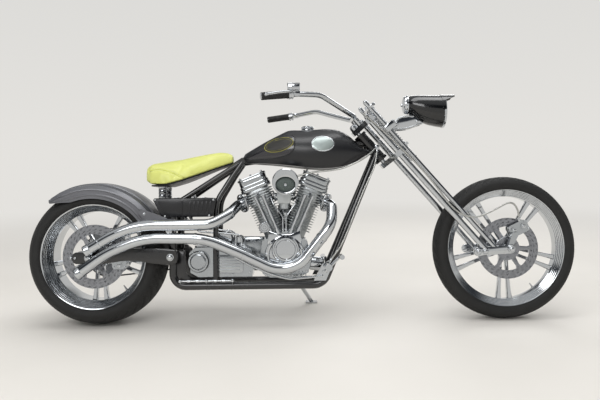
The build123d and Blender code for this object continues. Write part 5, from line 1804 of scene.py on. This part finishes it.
class Flank:
    """Finds points on both flanks of a mesh, in the upright bike's own millimetres."""

    def __init__(self, data):
        back = UPRIGHT.inverted()
        self.tree = BVHTree.FromPolygons([back @ v.co for v in data.vertices],
                                         [tuple(p.vertices) for p in data.polygons])

    def spot(self, x, z, side, lift):
        """The point of the skin seen at x, z from one side (-1 right, 1 left), lifted off it."""
        found, normal, _, _ = self.tree.ray_cast(Vector((x, side * 400, z)), Vector((0, -side, 0)))
        if found is None:
            raise ValueError(f"nothing of the skin at {x}, {z}")
        if normal.y * side < 0:
            normal = -normal
        return found + normal * lift

    def plate(self, outline, side, height, bevel=1.5):
        """A thin plate on the skin: its outline of (x, z) points, shrunk in steps to its middle."""
        cx = sum(x for x, _ in outline) / len(outline)
        cz = sum(z for _, z in outline) / len(outline)
        reach = max(math.hypot(x - cx, z - cz) for x, z in outline)
        rings = []
        rim = [(1, -1.5), (1, height * 0.6), (1 - bevel / reach, height)]
        for share, lift in rim + [(share, height) for share in (0.75, 0.5, 0.25, 0.04)]:
            spots = [(cx + (x - cx) * share, cz + (z - cz) * share) for x, z in outline]
            rings.append([self.spot(x, z, side, lift) for x, z in spots])
        return skin(rings)

    def bead(self, line, side, half, height, closed=False):
        """A raised round line along (x, z) points on the skin."""
        line = [Vector((x, 0, z)) for x, z in line]
        rings = []
        last = len(line) - 1
        for k, here in enumerate(line):
            ahead = line[(k + 1) % len(line)] if closed else line[min(k + 1, last)]
            before = line[k - 1] if closed else line[max(k - 1, 0)]
            along = (ahead - before).normalized()
            across = Vector((-along.z, 0, along.x))
            ring = []
            for wide, lift in ((-1, -1.5), (-1, 0.25), (-0.6, 0.8), (0, 1), (0.6, 0.8), (1, 0.25), (1, -1.5)):
                spot = here + across * half * wide
                ring.append(self.spot(spot.x, spot.z, side, height * lift if lift > 0 else lift))
            rings.append(ring)
        return skin(rings, ring=closed)


def eased(points, steps=6):
    """A smooth open line of (x, z) through points."""
    line = []
    spots = [points[0]] + list(points) + [points[-1]]
    for a, b, c, d in zip(spots, spots[1:], spots[2:], spots[3:]):
        for k in range(steps):
            t = k / steps
            line.append(tuple(
                0.5 * (2 * b[i] + (c[i] - a[i]) * t + (2 * a[i] - 5 * b[i] + 4 * c[i] - d[i]) * t * t
                       + (3 * b[i] - a[i] - 3 * c[i] + d[i]) * t ** 3) for i in range(2)))
    return line + [tuple(points[-1])]


def tilted_oval(x, z, long_half, high_half, tilt_deg, steps=56):
    """An ellipse round x, z whose front end is tilted up."""
    c, s = math.cos(math.radians(tilt_deg)), math.sin(math.radians(tilt_deg))
    return [(x + a * c - b * s, z + a * s + b * c) for a, b in ellipse(long_half, high_half, steps)]


# The line of the tank's back, which runs straight down to the seat: x, height
TAIL_LINE = ((-330, 838), (-300, 855), (-270, 873), (-208, 909), (-176, 927), (-143, 944), (-110, 960),
             (-85, 972), (-62, 982), (-40, 985), (0, 985))
# The tank's lower edge: its height at x = 0 and its slope
TANK_FLOOR = 893
TANK_FLOOR_SLOPE = 0.1432
# Longest edge that the tank's back keeps before it is drawn to the line, in metres
TANK_MESH_STEP = 0.014


def tank_skin():
    """A copy of the tank's solid with its back drawn to TAIL_LINE; the tunnel under it is left alone."""
    data = frame["nodes"]["fuel_tank"].data
    tree = Flank(data).tree
    back = UPRIGHT.inverted()
    tail = eased(TAIL_LINE, 8)
    mesh = bmesh.new()
    mesh.from_mesh(data)
    bmesh.ops.remove_doubles(mesh, verts=mesh.verts, dist=0.00001)
    for _ in range(2):
        long = [e for e in mesh.edges
                if e.calc_length() > TANK_MESH_STEP and (back @ e.verts[0].co).x < 20]
        bmesh.ops.subdivide_edges(mesh, edges=long, cuts=1)
        bmesh.ops.triangulate(mesh, faces=mesh.faces)
    for vert in mesh.verts:
        spot = back @ vert.co
        floor = TANK_FLOOR + TANK_FLOOR_SLOPE * spot.x
        if spot.x >= 0 or spot.z <= floor:
            continue
        top = tree.ray_cast(Vector((spot.x, 0, 1300)), Vector((0, 0, -1)))[0]
        for (x0, z0), (x1, z1) in zip(tail, tail[1:]):
            if top and x0 <= spot.x <= x1 and top.z > floor + 1:
                # The change grows from the tank's middle backwards, and from its lower edge up
                change = (z0 + (z1 - z0) * (spot.x - x0) / (x1 - x0) - top.z) * min(1, -spot.x / 40)
                spot.z += change * min(1, (spot.z - floor) / (top.z - floor))
                vert.co = UPRIGHT @ spot
                break
    for face in mesh.faces:
        face.smooth = True
    skin_mesh = bpy.data.meshes.new("tank_skin")
    mesh.to_mesh(skin_mesh)
    mesh.free()
    return skin_mesh


class CHOPPER_OT_tank(ChopperOperator, bpy.types.Operator):
    """Build the tank's shell and cap, and lay the scallop and the plain oval plates on its flanks"""
    bl_idname = "chopper.tank"
    bl_label = "Tank"

    def execute(self, context):
        skinned = Piece()
        skinned.take_mesh(tank_skin(), UPRIGHT.inverted())
        skinned.done("tank_shell", "chassis", "satin_paint", ["fuel_tank"], smooth_deg=40)
        flank = Flank(tank_skin())
        # The scallop runs from the tail along the shoulder to a round front and back along the lower edge
        scallop = eased(((-270, 838), (-220, 868), (-160, 905), (-110, 933), (-70, 950), (-42, 952),
                         (-29, 936), (-28, 905), (-36, 872), (-70, 848), (-130, 836), (-200, 832),
                         (-250, 831), (-270, 838)))[:-1]
        dark_oval = tilted_oval(-108, 902, 74, 34, 13)
        inner_oval = tilted_oval(-108, 902, 63, 25, 13)
        pale_oval = tilted_oval(112, 903, 56, 38, 0)
        panel, scallop_bead, dark, line, pale, pale_rim = (Piece() for _ in range(6))
        for side in (-1, 1):
            panel.take(flank.plate(scallop, side, 0.7))
            scallop_bead.take(flank.bead(scallop, side, 2.6, 2.6, closed=True))
            dark.take(flank.plate(dark_oval, side, 1.8, 3))
            line.take(flank.bead(dark_oval, side, 2.2, 2.6, closed=True))
            line.take(flank.bead(inner_oval, side, 0.9, 2.4, closed=True))
            pale.take(flank.plate(pale_oval, side, 2.6, 4))
            pale_rim.take(flank.bead(pale_oval, side, 2.6, 3.4, closed=True))
        # columns: piece, name, slot, finish
        for piece, name, slot, material in (
                (panel, "tank_scallop", "satin_paint", "scallop_enamel"),
                (scallop_bead, "tank_scallop_edge", "satin_paint", None),
                (dark, "tank_dark_plates", "satin_paint", "dark_badge"),
                (line, "tank_plate_lines", "satin_paint", "brass_edge"),
                (pale, "tank_pale_plates", "polished_alloy", "silver_badge"),
                (pale_rim, "tank_plate_rims", "chrome", None)):
            piece.done(name, "chassis", slot, material=material, smooth_deg=60)

        cap = Piece()
        rows = [(0, 982), (33, 982), (33, 989), (31, 992), (31, 999), (29.5, 1002.5), (24, 1005), (12, 1006),
                (0, 1006)]
        cap.take(turned(rows, 72), at(40, 0, 0))
        notch = slab(oblong(0, 0, 4, 2.8), 992.5, 1000, 0.6)
        cap.take_mesh(round_axle(notch, 31, 28), at(40, 0, 0))
        cap.done("tank_cap_turned", "chassis", "chrome", ["tank_cap"])
        return {"FINISHED"}


# Seat


SEAT_ROWS = (
    # columns: x, bottom z, top z, half width
    (-780, 728, 808, 74),
    (-752, 712, 822, 108),
    (-700, 709, 820, 128),
    (-660, 711, 817, 133),
    (-600, 728, 824, 121),
    (-560, 742, 835, 111),
    (-500, 764, 856, 84),
    (-460, 779, 869, 70),
    (-408, 798, 879, 56),
    (-372, 810, 876, 49),
    (-346, 818, 864, 44),
)


def seat_block():
    """The seat before it is stuffed: a closed form with a crowned top over a flat base."""
    steps = 40
    rings = []
    for x, low, high, half in SEAT_ROWS:
        ring = []
        for k in range(steps):
            angle = 2 * math.pi * k / steps
            c = math.cos(angle)
            s = math.sin(angle)
            # A squarish section, drawn a little small, since the stuffing swells it
            y = (half - 5) * math.copysign(abs(c) ** 0.62, c)
            z = low + 2 + (high - low - 9) * (max(s, 0.0) ** 0.7) if s >= 0 else low + 2 + 3 * s
            ring.append((x, y, z))
        rings.append(ring)
    return skin(rings)


# The seat's stuffing: the cloth's pressure, its frames, and how far it may swell, in metres
PRESSURE = 4.0
CLOTH_FRAMES = 20
SWELL_CAP = 0.022


def stuffed(made):
    """Blow a closed leather form up from inside with cloth, holding its base, and keep the result."""
    data = made.data
    pinned = made.vertex_groups.new(name="base")
    data.calc_loop_triangles()
    base = [v.index for v in data.vertices if v.normal.z < -0.75]
    pinned.add(base, 1.0, "REPLACE")
    rest = [v.co.copy() for v in data.vertices]
    cloth = made.modifiers.new("cloth", "CLOTH")
    cloth.settings.use_pressure = True
    cloth.settings.uniform_pressure_force = PRESSURE
    cloth.settings.vertex_group_mass = "base"
    cloth.settings.effector_weights.gravity = 0.0
    cloth.settings.quality = 6
    scene = bpy.context.scene
    for tick in range(1, CLOTH_FRAMES + 1):
        scene.frame_set(tick)
    swollen = applied(made, cloth)
    scene.frame_set(1)
    for vert, before, after in zip(data.vertices, rest, swollen.vertices):
        move = after.co - before
        if move.length > SWELL_CAP:
            move *= SWELL_CAP / move.length
        vert.co = before + move
    bpy.data.meshes.remove(swollen)


# The seam on each side of the seat, from its tail forward and down to its base, as x and z
SEAT_SEAM = ((-764, 776), (-735, 784), (-696, 784), (-651, 770), (-612, 751), (-586, 738))


def creased(data, seam, depth, half):
    """Pull a stuffed form in along a seam seen from the side, on both flanks."""
    tree = KDTree(len(seam))
    for index, (x, z) in enumerate(seam):
        tree.insert((x, 0, z), index)
    tree.balance()
    back = UPRIGHT.inverted()
    moves = []
    for vert in data.vertices:
        spot = back @ vert.co
        far = tree.find((spot.x, 0, spot.z))[2]
        pull = depth * math.exp(-(far / half) ** 2) * min(1.0, abs(vert.normal.y) * 1.6)
        moves.append(vert.normal * pull / 1000)
    for vert, move in zip(data.vertices, moves):
        vert.co -= move


def seat_leather():
    """The remeshed, stuffed and smoothed seat, as its final mesh"""
    points, faces = seat_block()
    data = bpy.data.meshes.new("seat_leather")
    data.from_pydata([UPRIGHT @ Vector(p) for p in points], [], faces)
    made = bpy.data.objects.new("seat_leather", data)
    bpy.context.scene.collection.objects.link(made)
    remesh = made.modifiers.new("remesh", "REMESH")
    remesh.mode = "VOXEL"
    remesh.voxel_size = 0.005
    made.data = applied(made, remesh)
    bpy.data.meshes.remove(data)
    stuffed(made)
    mesh = bmesh.new()
    mesh.from_mesh(made.data)
    for _ in range(3):
        bmesh.ops.smooth_vert(
            mesh, verts=mesh.verts, factor=0.5, use_axis_x=True, use_axis_y=True, use_axis_z=True)
    bmesh.ops.recalc_face_normals(mesh, faces=mesh.faces)
    for face in mesh.faces:
        face.smooth = True
    mesh.to_mesh(made.data)
    mesh.free()
    subdivide = made.modifiers.new("subdivide", "SUBSURF")
    subdivide.levels = 1
    subdivide.render_levels = 1
    fine = applied(made, subdivide)
    made.data = fine
    fine.name = "seat_leather"
    fine.materials.clear()
    fine.materials.append(finish("seat_leather"))
    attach(made, "chassis")
    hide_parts("seat_cushion")
    return fine


def seat_seam(fine, sizes):
    """Crease the seat along its seams, with piping and two rows of stitches"""
    seam = eased(SEAT_SEAM, 12)
    creased(fine, seam, 5, 6)
    side = Flank(fine)
    piping, stitches = Piece(), Piece()
    for hand in (-1, 1):
        piping.take(side.bead(seam[3:-3], hand, 2.4, 2.2))
        for drop in (-7, 7):
            line = [side.spot(x, z + drop, hand, 0.5) for x, z in seam[6:-14]]
            stitches.take_mesh(repeated(path_tree, (line, []), "seam_thread", Length=4.6, Thread=0.9,
                                        Spacing=sizes.stitch_step * 1000))
    piping.done("seat_piping", "chassis", "seat_leather", smooth_deg=60)
    stitches.done("seat_stitches", "chassis", "seat_leather", material="seam_thread")


def seat_coils(sizes):
    """Two coil springs under the seat, on their rods and plates"""
    springs = Piece()
    for y in (-62, 62):
        springs.take_mesh(coil(sizes.seat_coil_turns, 18.5, 3.6, 46), at(-700, y, 645.5))
        for low in (640, 694):
            springs.take(hoop(22, 8, low, low + 4), at(-700, y, 0))
        springs.take(barrel(6, 640, 698, 0.5, 16), at(-700, y, 0))
    springs.done("seat_coils", "chassis", "chrome", ["seat_springs"])


class CHOPPER_OT_seat(ChopperOperator, bpy.types.Operator):
    """Stuff the lime leather seat, sew its seams and wind the springs under it"""
    bl_idname = "chopper.seat"
    bl_label = "Seat"

    def execute(self, context):
        sizes = context.scene.chopper_sizes
        fine = seat_leather()
        seat_seam(fine, sizes)
        seat_coils(sizes)
        return {"FINISHED"}


class CHOPPER_PT_panel(bpy.types.Panel):
    """The chopper's pieces, sizes and colours"""
    bl_idname = "CHOPPER_PT_panel"
    bl_label = "Chopper Motorcycle"
    bl_space_type = "VIEW_3D"
    bl_region_type = "UI"
    bl_category = "Chopper"

    def draw(self, context):
        for operator in OPERATORS:
            self.layout.operator(operator.bl_idname)
        for group in (context.scene.chopper_sizes, context.scene.chopper_colours):
            for name in group.__annotations__:
                self.layout.prop(group, name)


OPERATORS = (CHOPPER_OT_stage, CHOPPER_OT_hoses, CHOPPER_OT_finishes, CHOPPER_OT_wheels, CHOPPER_OT_fork,
             CHOPPER_OT_chassis, CHOPPER_OT_engine, CHOPPER_OT_controls, CHOPPER_OT_tank, CHOPPER_OT_seat)
CLASSES = (ChopperSizes, ChopperColours) + OPERATORS + (CHOPPER_PT_panel,)


def register():
    for each in CLASSES:
        bpy.utils.register_class(each)
    bpy.types.Scene.chopper_sizes = PointerProperty(type=ChopperSizes)
    bpy.types.Scene.chopper_colours = PointerProperty(type=ChopperColours)


def unregister():
    del bpy.types.Scene.chopper_colours
    del bpy.types.Scene.chopper_sizes
    for each in reversed(CLASSES):
        bpy.utils.unregister_class(each)


def main():
    register()
    for each in OPERATORS:
        group, name = each.bl_idname.split(".")
        getattr(getattr(bpy.ops, group), name)()


if __name__ == "__main__":
    main()
